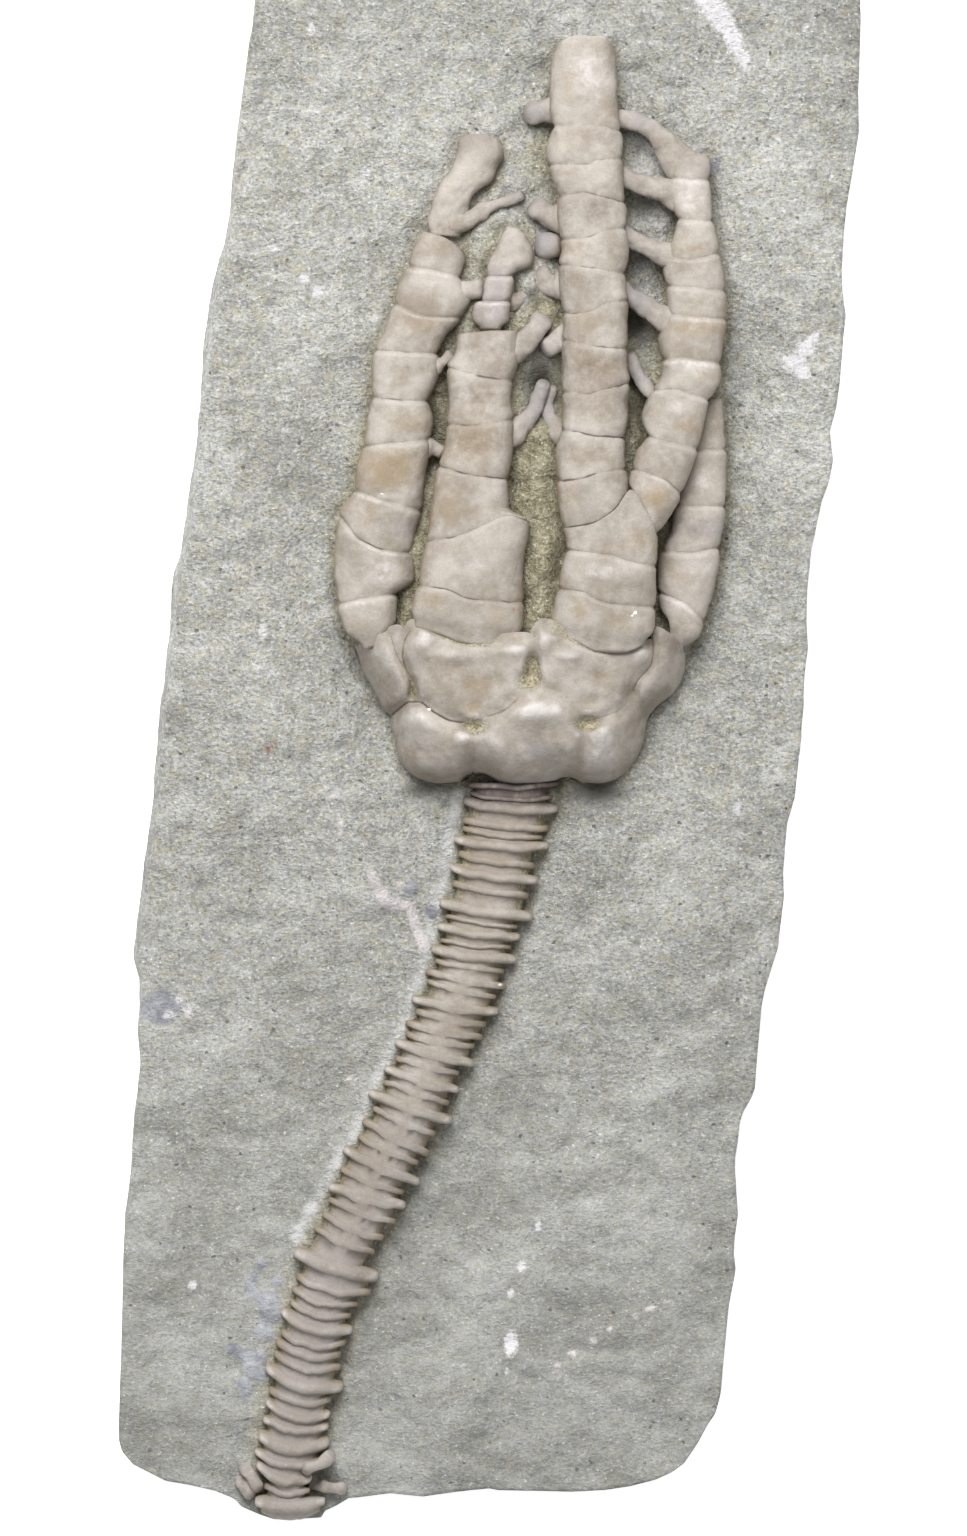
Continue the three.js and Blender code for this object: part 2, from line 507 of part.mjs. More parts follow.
// A cup plate: a pillow on the cup's curve, with its wall running down into the slab.
function plateSolid({ outline, swell }, grow) {
  const middle = middleOf(outline);
  const ring = (scale, heightAt) =>
    outline.map(([x, y]) => {
      const reach = scale + (grow - PLATE_INSET) / Math.hypot(x - middle[0], y - middle[1]);
      const [px, py] = [middle[0] + (x - middle[0]) * reach, middle[1] + (y - middle[1]) * reach];
      return [px, py, SLAB_TOP + heightAt(px, py)];
    });
  const seat = ring(1, () => -SEAT_DEPTH - grow);
  if (grow) return skin([seat, ring(1, () => POCKET_TOP)]);
  const onCup = (rise) => (x, y) => Math.max(cupCurve(x, y), 0.8) + rise;
  return skin([seat, ring(1, onCup(-1)), ring(0.86, onCup(0.35 * swell - 0.2)), ring(0.5, onCup(swell))]);
}

// The rough block of siltstone: a flat underside, broken sides that lean out on the left, and its relief.
function slabSolid() {
  const sideRing = (z, inset) =>
    SLAB_OUTLINE.map(([x, y], i) => {
      const [before, after] = [SLAB_OUTLINE.at(i - 1), SLAB_OUTLINE[(i + 1) % SLAB_OUTLINE.length]];
      const length = Math.hypot(after[0] - before[0], after[1] - before[1]);
      const [inX, inY] = [(after[1] - before[1]) / length, -(after[0] - before[0]) / length];
      const depth = inset(inX) * (1 + 0.5 * Math.sin(0.9 * y + z));
      return [x + inX * depth, y + inY * depth, z];
    });
  const leaning = (inX) => (inX > 0.5 ? 1 : 0.25);
  const block = skin([
    sideRing(0, () => 0.9),
    sideRing(2.5, () => 0),
    sideRing(11, () => 0),
    sideRing(SLAB_TOP, (inX) => 1.3 * leaning(inX)),
    sideRing(SLAB_TOP + 12, (inX) => 1.3 * leaning(inX)),
  ]);
  return block.intersect(faceBlock());
}

// Everything under the slab's face: a grid of facets on top, and a floor below the slab.
function faceBlock() {
  const [columns, rows] = [Math.ceil(96 / SLAB_CELL), Math.ceil(190 / SLAB_CELL)];
  const corners = [];
  const faces = [];
  for (const top of [true, false])
    for (let j = 0; j <= rows; j++)
      for (let i = 0; i <= columns; i++) {
        const [x, y] = [-48 + (96 * i) / columns, -95 + (190 * j) / rows];
        corners.push([x, y, top ? SLAB_TOP + faceHeight(x, y) : -5]);
      }
  const row = columns + 1;
  const under = row * (rows + 1);
  for (let j = 0; j < rows; j++)
    for (let i = 0; i < columns; i++) {
      const [a, b] = [j * row + i, (j + 1) * row + i];
      faces.push(a, a + 1, b + 1, a, b + 1, b);
      faces.push(under + a, under + b + 1, under + a + 1, under + a, under + b, under + b + 1);
    }
  const wall = (a, b) => faces.push(a, under + b, b, a, under + a, under + b);
  for (let i = 0; i < columns; i++) {
    wall(i, i + 1);
    wall(rows * row + i + 1, rows * row + i);
  }
  for (let j = 0; j < rows; j++) {
    wall(j * row + columns, (j + 1) * row + columns);
    wall((j + 1) * row, j * row);
  }
  return solidOf(corners, faces);
}

// A plug of siltstone that fills one pit between the cup's plates.
function pitPlug([x, y, radius]) {
  const ring = (r, z) =>
    Array.from({ length: 7 }, (_, i) => {
      const angle = (2 * Math.PI * i) / 7;
      return [x + r * Math.cos(angle), y + r * Math.sin(angle), z];
    });
  const top = SLAB_TOP + cupCurve(x, y) - 1.5;
  return skin([ring(radius * 1.3, SLAB_TOP - 2), ring(radius * 1.1, top - 1), ring(radius * 0.6, top)]);
}

// Every fossil piece, uppermost first. A piece is cut back where another lies over it.
const makers = new Map();
for (const [name, plate] of Object.entries(CUP_PLATES)) makers.set(name, (grow) => plateSolid(plate, grow));
for (const [name, arm] of Object.entries(ARMS)) makers.set(name, (grow) => armSolid(arm, grow));
for (const [name, chip] of Object.entries(STEM_CHIPS)) makers.set(name, (grow) => twigSolid(chip, grow));
makers.set("stem", stemSolid);

const pockets = [];
const pieces = new Map();
for (const [name, make] of makers) {
  const whole = make(0);
  pieces.set(name, mainBody(pockets.reduce((rest, pocket) => rest.subtract(pocket), whole)));
  pockets.push(make(GAP));
}
const matrix = mainBody(joinAll([slabSolid(), ...CUP_PITS.map(pitPlug)]).subtract(joinAll(pockets)));

// Materials
const siltstone = new THREE.MeshStandardMaterial({ color: 0x9c9c91, roughness: 0.95, metalness: 0 });
const calcite = new THREE.MeshStandardMaterial({ color: 0xc9b9a8, roughness: 0.55, metalness: 0 });

function meshOf(name, solid, material) {
  const { numProp, vertProperties, triVerts, numVert } = solid.getMesh();
  const positions = new Float32Array(numVert * 3);
  for (let i = 0; i < numVert; i++) positions.set(vertProperties.subarray(i * numProp, i * numProp + 3), i * 3);
  const geometry = new THREE.BufferGeometry();
  geometry.setAttribute("position", new THREE.BufferAttribute(positions, 3));
  geometry.setIndex(new THREE.BufferAttribute(triVerts, 1));
  const mesh = new THREE.Mesh(geometry, material);
  mesh.name = name;
  return mesh;
}

const fossilPlate = new THREE.Group();
fossilPlate.add(meshOf("matrix", matrix, siltstone));
for (const [name, solid] of pieces) fossilPlate.add(meshOf(name, solid, calcite));

export default fossilPlate;
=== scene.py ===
# %% [markdown]
# This is a fossil sea lily on the slab of siltstone that it was buried in. A cup of thick plates carries
# arms of stacked ossicles with small side branches, and a ringed stem runs to the lower edge of the slab.
# Everything is one body that lies on its flat underside, so every piece rides on "root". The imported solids
# give the places and sizes, and each solid is replaced by a finer surface in the same place.

# %% Load the frame
import bpy
import numpy as np
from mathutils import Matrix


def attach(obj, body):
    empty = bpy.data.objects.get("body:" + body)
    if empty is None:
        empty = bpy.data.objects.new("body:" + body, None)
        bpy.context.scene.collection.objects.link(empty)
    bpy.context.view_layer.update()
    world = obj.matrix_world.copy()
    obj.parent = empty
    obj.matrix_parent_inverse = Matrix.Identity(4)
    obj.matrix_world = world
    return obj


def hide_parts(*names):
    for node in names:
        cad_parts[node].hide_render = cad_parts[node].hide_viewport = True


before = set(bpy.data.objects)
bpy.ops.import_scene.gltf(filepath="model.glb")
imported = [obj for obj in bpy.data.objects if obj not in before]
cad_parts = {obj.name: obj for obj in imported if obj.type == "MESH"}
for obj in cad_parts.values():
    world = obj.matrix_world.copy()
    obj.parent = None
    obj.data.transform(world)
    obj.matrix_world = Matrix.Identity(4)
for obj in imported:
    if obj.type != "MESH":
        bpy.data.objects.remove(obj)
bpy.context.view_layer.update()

print("solids loaded:", len(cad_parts))

# %% [markdown]
# Lengths are easier to read in millimetres, so every shape is worked out in them and scaled at the end.
# X runs to the right, Y from the stem towards the arm tips, and Z up. Heights are counted from the level
# of the slab's face, as they would be measured with a depth gauge laid on the stone.

# %% Sizes
MM = 0.001  # one millimetre in metres
SLAB_TOP = 18.0  # thickness of the slab
SEAT = -1.4  # how deep the fossil reaches into the slab
CUP_HEIGHT = 9.6
ARM_RISE = 3.5  # height of an arm above its widest line
LENS = 250.0  # focal length of the camera
SENSOR_HEIGHT = 36.0
FRAME_HEIGHT = 184.32  # what the photograph shows of the slab's face, from top to bottom
LENS_HEIGHT = FRAME_HEIGHT * LENS / SENSOR_HEIGHT  # how far the camera stands above the slab's face
AXIS_X, AXIS_Y = -0.78, -1.44  # the point that it stands over

# %% [markdown]
# Stone is never smooth, so a fixed, repeatable noise is needed. Blender's own noise could be called point
# by point, but a lattice of hashed numbers blended in numpy does hundreds of thousands of points at once
# and gives the same stone on every run.


# %% Noise and small curves
HASH_PRIMES = (73856093, 19349663, 83492791)  # one for each axis of the lattice
HASH_FACTOR = 1103515245
HASH_RANGE = 2**31
HASH_STEPS = 2**16  # how many different numbers can come out
LATTICE_SHIFT = 311.7  # keeps the stone clear of the lattice's corner 0, where every product is 0


def smoothstep(low, high, value):
    """0 below low, 1 above high, and 3t^2 - 2t^3 between them."""
    t = np.clip((value - low) / (high - low), 0, 1)
    return t * t * (3 - 2 * t)


def bell(distance):
    """exp(-d^2): 1 in the middle of a swell, and almost 0 two widths away from it."""
    return np.exp(-distance * distance)


def hashed(cells, seed):
    """A fixed number from -1 to 1 for each lattice corner: each of its whole numbers is multiplied by a
    prime and mixed in bit by bit, and the lowest 16 bits of the result are kept."""
    mixed = np.full(cells.shape[:-1], 40503 * seed + 977, dtype=np.int64)
    for axis, prime in zip(range(cells.shape[-1]), HASH_PRIMES):
        mixed = (mixed ^ (cells[..., axis] * prime)) * HASH_FACTOR % HASH_RANGE
        mixed = mixed ^ (mixed >> 13)
    return (mixed % HASH_STEPS) / ((HASH_STEPS - 1) / 2) - 1


def noise(points, size, seed=0):
    """Smooth noise from -1 to 1: the hashed corners of the cell round each point, blended by smoothstep."""
    place = points / size + LATTICE_SHIFT
    cell = np.floor(place).astype(np.int64)
    t = place - cell
    t = t * t * (3 - 2 * t)
    total = np.zeros(points.shape[:-1])
    for corner in np.ndindex(*(2,) * points.shape[-1]):
        corner = np.array(corner)
        weight = np.where(corner == 1, t, 1 - t).prod(axis=-1)
        total += weight * hashed(cell + corner, seed)
    return total


def rough(points, size, octaves, seed=0):
    """Noise at a size, at half of it with half the strength, and so on, added up."""
    return sum(noise(points, size / 2**k, seed + k) / 2**k for k in range(octaves))


def through(places, values, where):
    """A curve through values that never overshoots: cubic pieces whose slope at a point is the harmonic mean
    of the slopes beside it, or level where they disagree."""
    places = np.asarray(places, float)
    values = np.asarray(values, float)
    step = np.diff(places).reshape((-1,) + (1,) * (values.ndim - 1))
    slope = np.diff(values, axis=0) / step
    before, after = slope[:-1], slope[1:]
    safe = np.where(before * after > 0, before + after, 1)
    inner = np.where(before * after > 0, 2 * before * after / safe, 0)
    tangent = np.concatenate([slope[:1], inner, slope[-1:]])
    k = np.clip(np.searchsorted(places, where) - 1, 0, len(places) - 2)
    h = step[k]
    t = (np.asarray(where) - places[k]).reshape(h.shape) / h
    rise = values[k] * (1 + 2 * t) * (1 - t) ** 2 + h * tangent[k] * t * (1 - t) ** 2
    return rise + values[k + 1] * t * t * (3 - 2 * t) - h * tangent[k + 1] * t * t * (1 - t)


def round_loop(points, count):
    """A closed Catmull-Rom curve through the points, at `count` places spread evenly by its length."""
    knots = np.asarray(points, float)
    fine = np.linspace(0, len(knots), 16 * len(knots), endpoint=False)
    k = fine.astype(int)
    t = (fine - k)[:, None]
    a, b, c, d = (knots[(k + n) % len(knots)] for n in (-1, 0, 1, 2))
    curve = 0.5 * (2 * b + (c - a) * t + (2 * a - 5 * b + 4 * c - d) * t**2 + (3 * b - a - 3 * c + d) * t**3)
    closed = np.vstack([curve, curve[:1]])
    length = np.concatenate([[0], np.cumsum(np.linalg.norm(np.diff(closed, axis=0), axis=1))])
    even = np.linspace(0, length[-1], count, endpoint=False)
    return np.stack([np.interp(even, length, closed[:, axis]) for axis in range(2)], axis=1)


def away(xy, line, reach=5.0):
    """Distance from each plan point to a broken line: the least of the distances to its segments. It is only
    worked out within `reach` of the line."""
    line = np.asarray(line, float)
    best = np.full(xy.shape[:-1], reach)
    near = ((xy > line.min(axis=0) - reach) & (xy < line.max(axis=0) + reach)).all(axis=-1)
    spot = xy[near]
    least = best[near]
    for start, end in zip(line[:-1], line[1:]):
        run = end - start
        t = np.clip(((spot - start) @ run) / (run @ run), 0, 1)
        least = np.minimum(least, np.linalg.norm(spot - start - t[:, None] * run, axis=-1))
    best[near] = least
    return best


def flowing(line):
    """A drawn line with its corners rounded: a curve through its points, four steps for each."""
    return through(np.arange(len(line)), line, np.linspace(0, len(line) - 1, 4 * len(line)))


def spots(xy, table):
    """Sum of round or oval marks: for each row x, y, rx, ry, strength of a table, the mark at a point is
    strength * exp(-(dx/rx)^2 - (dy/ry)^2)."""
    total = np.zeros(xy.shape[:-1])
    for x, y, rx, ry, strength in table:
        total += strength * bell(np.hypot((xy[..., 0] - x) / rx, (xy[..., 1] - y) / ry))
    return total


sample = np.stack(np.meshgrid(np.arange(50.0), np.arange(50.0)), axis=-1)
print("noise runs from %.2f to %.2f" % (noise(sample, 3.1).min(), noise(sample, 3.1).max()))

# %% [markdown]
# Every piece of the fossil is a stack of rings: round a plate, across an arm or round a disc of the stem.
# One function joins the rings of a stack into a closed surface, and one hands the result to Blender with the
# numbers that its finish needs at each point, such as how much sediment lies there.


# %% Rings into meshes
def skin(rings):
    """Corners and faces of a closed surface: four-sided faces between neighbouring rings, and a fan of
    triangles from the middle of each end ring. It is turned round if its volume comes out negative."""
    count, sides = rings.shape[:2]
    index = np.arange(count * sides).reshape(count, sides)
    beside = np.roll(index, -1, axis=1)
    quads = np.stack([index[:-1], beside[:-1], beside[1:], index[1:]], axis=-1).reshape(-1, 4)
    corners = np.vstack([rings.reshape(-1, 3), rings[0].mean(axis=0), rings[-1].mean(axis=0)])
    first, last = (np.full(sides, count * sides + n) for n in (0, 1))
    fans = np.vstack([
        np.stack([first, beside[0], index[0]], axis=1),
        np.stack([last, index[-1], beside[-1]], axis=1),
    ])
    halves = np.vstack([quads[:, :3], quads[:, [0, 2, 3]], fans])
    a, b, c = (corners[halves[:, n]] for n in range(3))
    if (a * np.cross(b, c)).sum() < 0:
        quads, fans = quads[:, ::-1], fans[:, ::-1]
    return corners, quads, fans


def grid_normals(rings):
    """Outward direction at each point of a stack of rings: the cross product of its steps round the ring and
    from ring to ring, turned to point away from the ring's middle."""
    around = np.roll(rings, -1, axis=1) - np.roll(rings, 1, axis=1)
    along = np.gradient(rings, axis=0)
    normal = np.cross(around, along)
    normal /= np.linalg.norm(normal, axis=-1, keepdims=True) + 1e-9
    outward = ((rings - rings.mean(axis=1, keepdims=True)) * normal).sum()
    return normal if outward > 0 else -normal


def lifted(x, y, height):
    """Points from plan places and heights above the slab's face. The places were measured under a lens at
    LENS_HEIGHT, which shows a raised point further out, so they are drawn in by height / LENS_HEIGHT."""
    near = 1 - np.maximum(height, 0) / LENS_HEIGHT
    return np.stack([AXIS_X + (x - AXIS_X) * near, AXIS_Y + (y - AXIS_Y) * near, height + SLAB_TOP], axis=-1)


def piece(name, shells, finish, marks, stands_for):
    """A Blender object from closed shells of rings. `marks` holds, for each attribute, one array per shell
    in the shape of its rings; the two middle points that skin adds take the mean of the end rings."""
    corners, faces, base = [], [], 0
    for rings in shells:
        points, quads, fans = skin(rings)
        corners.append(points)
        faces += (quads + base).tolist() + (fans + base).tolist()
        base += len(points)
    whole = {
        label: np.concatenate([np.append(part.ravel(), [part[0].mean(), part[-1].mean()]) for part in parts])
        for label, parts in marks.items()
    }
    return publish(name, np.vstack(corners), faces, finish, whole, stands_for)


def publish(name, corners, faces, finish, marks, stands_for):
    """A Blender object from corners in millimetres and faces, in place of the solids that it stands for."""
    mesh = bpy.data.meshes.new(name)
    mesh.from_pydata(corners * MM, [], faces, shade_flat=False)
    for label, values in marks.items():
        layer = mesh.attributes.new(label, "FLOAT", "POINT")
        layer.data.foreach_set("value", values.astype(np.float32))
    mesh.materials.append(finish)
    made = bpy.data.objects.new(name, mesh)
    bpy.context.scene.collection.objects.link(made)
    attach(made, "root")
    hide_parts(*stands_for)
    print(name, len(mesh.polygons), "faces")
    return made


# %% [markdown]
# A finish is a small sum: a base colour, and other colours laid over it where a mask says so. Blender adds
# one Math node for each step of such a sum, so a small class stands for a socket and turns Python's own
# operators into those nodes. Colours are mixed with Mix nodes, because a Math node would turn them grey.


# %% Shader sums in Python
class Wire:
    """One output of a material's nodes. An expression on wires and numbers adds its Math nodes."""

    def __init__(self, recipe, socket):
        self.recipe = recipe
        self.socket = socket

    def math(self, operation, *values):
        """A Math node that does one operation on its values."""
        return self.recipe.add("ShaderNodeMath", {"operation": operation}, dict(enumerate(values)))

    def __add__(self, other):
        return self.math("ADD", self, other)

    def __mul__(self, other):
        return self.math("MULTIPLY", self, other)

    def __sub__(self, other):
        return self.math("SUBTRACT", self, other)

    def __rsub__(self, other):
        return self.math("SUBTRACT", other, self)

    __radd__ = __add__
    __rmul__ = __mul__

    def step(self, low, high):
        """Smoothstep from 0 at low to 1 at high."""
        settings = {"interpolation_type": "SMOOTHSTEP"}
        return self.recipe.add("ShaderNodeMapRange", settings, {0: self, 1: low, 2: high})


class Recipe:
    """A material whose nodes are added one at a time."""

    def __init__(self, name):
        self.material = bpy.data.materials.new(name)
        self.material.use_nodes = True
        self.tree = self.material.node_tree
        self.tree.nodes.clear()
        self.place = self.add("ShaderNodeTexCoord", output="Object")

    def add(self, kind, settings=None, inputs=None, output=0):
        """A node of one kind: its settings first, then the value or the link of each input."""
        node = self.tree.nodes.new(kind)
        for key, value in (settings or {}).items():
            setattr(node, key, value)
        for key, value in (inputs or {}).items():
            if isinstance(value, Wire):
                self.tree.links.new(value.socket, node.inputs[key])
            else:
                node.inputs[key].default_value = value
        return Wire(self, node.outputs[output])

    def noise(self, size, detail=2.0, roughness=0.5):
        """Blender's noise, from 0 to 1, with features of a size in millimetres."""
        inputs = {"Vector": self.place, "Scale": 1 / (size * MM), "Detail": detail, "Roughness": roughness}
        return self.add("ShaderNodeTexNoise", None, inputs)

    def grains(self, size):
        """A random number from 0 to 1 for each grain of a size in millimetres."""
        inputs = {"Vector": self.place, "Scale": 1 / (size * MM)}
        colour = self.add("ShaderNodeTexVoronoi", None, inputs, "Color")
        return self.add("ShaderNodeSeparateColor", None, {0: colour})

    def mark(self, name):
        """The number that each point of a mesh carries under a name."""
        return self.add("ShaderNodeAttribute", {"attribute_name": name}, output="Fac")

    def mix(self, under, over, mask, blend="MIX"):
        """The colour `over` laid on `under` where the mask is 1."""
        settings = {"data_type": "RGBA", "blend_type": blend}
        return self.add("ShaderNodeMix", settings, {0: mask, 6: under, 7: over}, output=2)

    def grey(self, value):
        """A grey colour from one number, to multiply another colour with."""
        return self.add("ShaderNodeCombineColor", None, {0: value, 1: value, 2: value})

    def finish(self, colour, roughness, height, depth, normal_strength=1.0, specular=0.5, glow=0.0):
        """The surface itself, with a height in units of `depth` millimetres turned into a bump."""
        bump = {"Height": height, "Distance": depth * MM, "Strength": normal_strength}
        relief = self.add("ShaderNodeBump", None, bump)
        inputs = {"Base Color": colour, "Roughness": roughness, "Normal": relief}
        inputs["Specular IOR Level"] = specular
        inputs["Emission Color"] = rgb(1, 1, 1)
        inputs["Emission Strength"] = glow
        surface = self.add("ShaderNodeBsdfPrincipled", None, inputs)
        out = self.tree.nodes.new("ShaderNodeOutputMaterial")
        self.tree.links.new(surface.socket, out.inputs["Surface"])
        return self.material


def rgb(red, green, blue):
    """A colour in linear light, as Blender's sockets take it."""
    return (red, green, blue, 1.0)


# %% [markdown]
# The fossil is calcite: smooth, a little waxy, beige with a pink cast. Tan patches lie in its hollows, as
# stain and as painted shade, its rims are pale, as wear and as painted highlight, and the small side branches
# are lilac grey. The joints show as thin dark lines, and the top of the stem carries the cup's painted
# shadow. All of these places are numbers on the mesh's points, so the finish follows the shape from every
# side.

# %% Calcite
CALCITE_LIGHT = rgb(0.415, 0.378, 0.337)
CALCITE_DARK = rgb(0.25, 0.213, 0.171)
TAN_STAIN_AND_SHADE = rgb(0.285, 0.225, 0.152)
LILAC_GREY = rgb(0.285, 0.262, 0.258)
WORN_PALE_AND_HIGHLIGHT = rgb(0.54, 0.505, 0.478)
SEDIMENT_DARK = rgb(0.20, 0.17, 0.10)
SEDIMENT_LIGHT = rgb(0.44, 0.40, 0.30)
JOINT_DARK_AND_SHADOW = rgb(0.12, 0.095, 0.09)
CHIP_WHITE = rgb(0.80, 0.79, 0.77)
IRON_RED = rgb(0.40, 0.13, 0.08)

calcite = Recipe("calcite_fossil")
cloud = calcite.noise(5.0, 4.0, 0.6)
fleck = calcite.noise(1.1, 4.0, 0.65)
dust = calcite.noise(0.25, 3.0, 0.6)
mottle = (cloud + (fleck - 0.5) * 0.4).step(0.26, 0.74)
colour = calcite.mix(CALCITE_LIGHT, CALCITE_DARK, mottle)
# Tan: stain, and painted shade in the cup's hollows and on the arms' sides.
tan_stain_and_shade_mask = calcite.mark("tan") * (0.3 + 1.4 * fleck) + (cloud - 0.6) * 0.5
colour = calcite.mix(colour, TAN_STAIN_AND_SHADE, tan_stain_and_shade_mask.step(0.05, 1.0))
lilac_mask = calcite.mark("lilac") * (0.5 + fleck)
colour = calcite.mix(colour, LILAC_GREY, lilac_mask.step(0.05, 1.1))
# Pale: wear, and painted highlight on the cup's outward bends, the ossicles' upper rims and the crests of the
# stem's broad discs.
pale_wear_and_highlight_mask = calcite.mark("pale") * (0.3 + 1.4 * fleck) + (fleck - 0.6) * 0.8
colour = calcite.mix(colour, WORN_PALE_AND_HIGHLIGHT, pale_wear_and_highlight_mask.step(0.0, 1.2))
gold_mask = (calcite.mark("gold") + (dust - 0.5)).step(0.3, 0.85)
gold = calcite.mix(SEDIMENT_DARK, SEDIMENT_LIGHT, calcite.grains(0.3))
colour = calcite.mix(colour, gold, gold_mask)
# Dark joints, and the painted shadow of the cup on the top of the stem.
seam_and_shadow_mask = (calcite.mark("seam") * (0.2 + 1.6 * fleck)).step(0.1, 0.9)
colour = calcite.mix(colour, JOINT_DARK_AND_SHADOW, seam_and_shadow_mask)
white_mask = (calcite.mark("white") * (0.4 + 1.2 * fleck)).step(0.3, 0.6)
colour = calcite.mix(colour, CHIP_WHITE, white_mask)
red_mask = (calcite.mark("red") * (0.4 + 1.2 * fleck)).step(0.3, 0.9)
colour = calcite.mix(colour, IRON_RED, red_mask)
colour = calcite.mix(colour, calcite.grey(0.80 + 0.40 * dust), 1.0, "MULTIPLY")
relief = fleck + dust * (0.6 + 1.5 * gold_mask)
roughness = 0.75 + 0.2 * gold_mask
CALCITE = calcite.finish(colour, roughness, relief, depth=0.13, normal_strength=0.7, specular=0.15)
print("calcite has", len(CALCITE.node_tree.nodes), "nodes")

# %% [markdown]
# The slab is siltstone. Close up it is a felt of dark, pale and olive grains a quarter of a millimetre wide,
# and from further off it is a calm grey green with darker and lighter clouds. Scraps of shell, rust spots
# and the pale track of the needle that freed the stem lie on it, with painted shade in its deep places,
# under the cup and along the fossil, again as numbers on the mesh's points.

# %% Siltstone
STONE_DARK = rgb(0.37, 0.365, 0.33)
STONE_LIGHT = rgb(0.80, 0.797, 0.757)
OLIVE_TINGE = rgb(0.62, 0.56, 0.38)
VIOLET_TINGE = rgb(0.44, 0.435, 0.47)
FILL_DARK = rgb(0.24, 0.205, 0.11)
FILL_LIGHT = rgb(0.64, 0.59, 0.43)
PALE_GRAIN = rgb(0.88, 0.88, 0.85)
DARK_GRAIN = rgb(0.20, 0.195, 0.17)
BLACK_SPECK = rgb(0.09, 0.09, 0.08)
DEEP_SHADE = rgb(0.085, 0.08, 0.06)
NEEDLE_TRACK = rgb(0.82, 0.82, 0.82)
CRYSTAL_DARK = rgb(0.27, 0.275, 0.30)
CRYSTAL_LIGHT = rgb(0.56, 0.56, 0.59)
SHELL_PINK = rgb(0.86, 0.80, 0.79)
SHELL_WHITE = rgb(0.92, 0.89, 0.90)
RUST_BROWN = rgb(0.36, 0.19, 0.09)
BEDDING = (1.0, 1.2, 1.1)  # patterns are a little shorter along the slab and through it than across it

stone = Recipe("siltstone_slab")
stone.place = stone.add("ShaderNodeVectorMath", {"operation": "MULTIPLY"}, {0: stone.place, 1: BEDDING})
cloud = stone.noise(12.0, 4.0, 0.6)
patch = stone.noise(2.4, 5.0, 0.7)
felt = stone.noise(0.5, 4.0, 0.75)
tinge = stone.noise(1.1, 4.0, 0.8)
grain = stone.grains(0.2)
speck = stone.grains(0.4)
along = stone.add("ShaderNodeSeparateXYZ", None, {0: stone.place}, 1)
crisp = 0.5 + 0.5 * along.step(-0.085, 0.0)
shade = (cloud * 0.6 + (patch - 0.5) * (0.1 + 0.7 * crisp) + (felt - 0.5) * crisp).step(0.02, 0.6)
colour = stone.mix(STONE_DARK, STONE_LIGHT, shade)
colour = stone.mix(colour, OLIVE_TINGE, tinge.step(0.50, 0.66) * crisp * 0.7)
colour = stone.mix(colour, VIOLET_TINGE, (1 - tinge).step(0.52, 0.68) * crisp * 0.65)
# The stone is made darker towards the slab's foot, and a little darker near its head.
tone = (0.69 + 0.34 * along.step(-0.1, 0.03)) * (1 - 0.16 * along.step(0.085, 0.11))
colour = stone.mix(colour, stone.grey(tone), 1.0, "MULTIPLY")
gold_mask = (stone.mark("gold") * (0.3 + 1.4 * patch)).step(0.1, 0.95)
gold = stone.mix(FILL_DARK, FILL_LIGHT, (felt * 0.6 + patch * 0.6).step(0.42, 0.78))
colour = stone.mix(colour, gold, gold_mask)
colour = stone.mix(colour, PALE_GRAIN, (grain * (0.6 + 0.8 * felt)).step(0.95, 1.05) * crisp)
dark_grain = ((1 - grain) * (1.4 - 0.8 * felt)).step(0.90, 1.05)
colour = stone.mix(colour, DARK_GRAIN, dark_grain * crisp * 0.7)
colour = stone.mix(colour, BLACK_SPECK, (1 - speck).step(0.994, 0.998) * 0.7)
# Painted shade: darkens the stone in hollows, in ledges, under the cup and along the fossil's edges.
colour = stone.mix(colour, DEEP_SHADE, (stone.mark("dark") * (0.5 + felt)).step(0.1, 1.3))
scraped = (stone.mark("track") * (0.1 + 1.8 * patch)).step(0.15, 1.1)
colour = stone.mix(colour, NEEDLE_TRACK, scraped * 0.85)
blue = stone.mix(CRYSTAL_DARK, CRYSTAL_LIGHT, patch.step(0.3, 0.7))
colour = stone.mix(colour, blue, (stone.mark("blue") * (0.1 + 1.8 * tinge)).step(0.45, 0.75))
colour = stone.mix(colour, SHELL_PINK, (stone.mark("lilac") * (2.2 * tinge)).step(0.35, 0.95))
colour = stone.mix(colour, SHELL_WHITE, (stone.mark("white") * (2.2 * felt - 0.1)).step(0.3, 0.9))
colour = stone.mix(colour, RUST_BROWN, (stone.mark("rust") * (3.4 * tinge - 0.9)).step(0.3, 1.3))
colour = stone.mix(colour, stone.grey(1 + (felt - 0.5) * crisp * 0.6), 1.0, "MULTIPLY")
relief = patch * (0.4 + 2.0 * crisp) + (felt * 1.3 + grain * 0.5) * crisp + stone.mark("gold") * patch * 1.5
SILTSTONE = stone.finish(colour, 0.92, relief, depth=0.6, specular=0.2)
print("siltstone has", len(SILTSTONE.node_tree.nodes), "nodes")

# %% [markdown]
# The crown swells up from the slab along a slightly leaning middle line. The same line and half-width
# shape the cup's curve and the mound of siltstone left between the arms, so that neither stands clear of
# the other.

# %% The crown's line
CROWN_SPINE = np.array([
    (-5, 3, 11), (0, 3.3, 14.6), (5, 3.7, 16.2), (13, 3.8, 20.4), (25, 4.4, 23.4), (45, 6.9, 21.2),
    (60, 9.1, 18.6), (75, 11, 13), (90, 11.5, 8),
], float)  # y, x of the middle, half-width


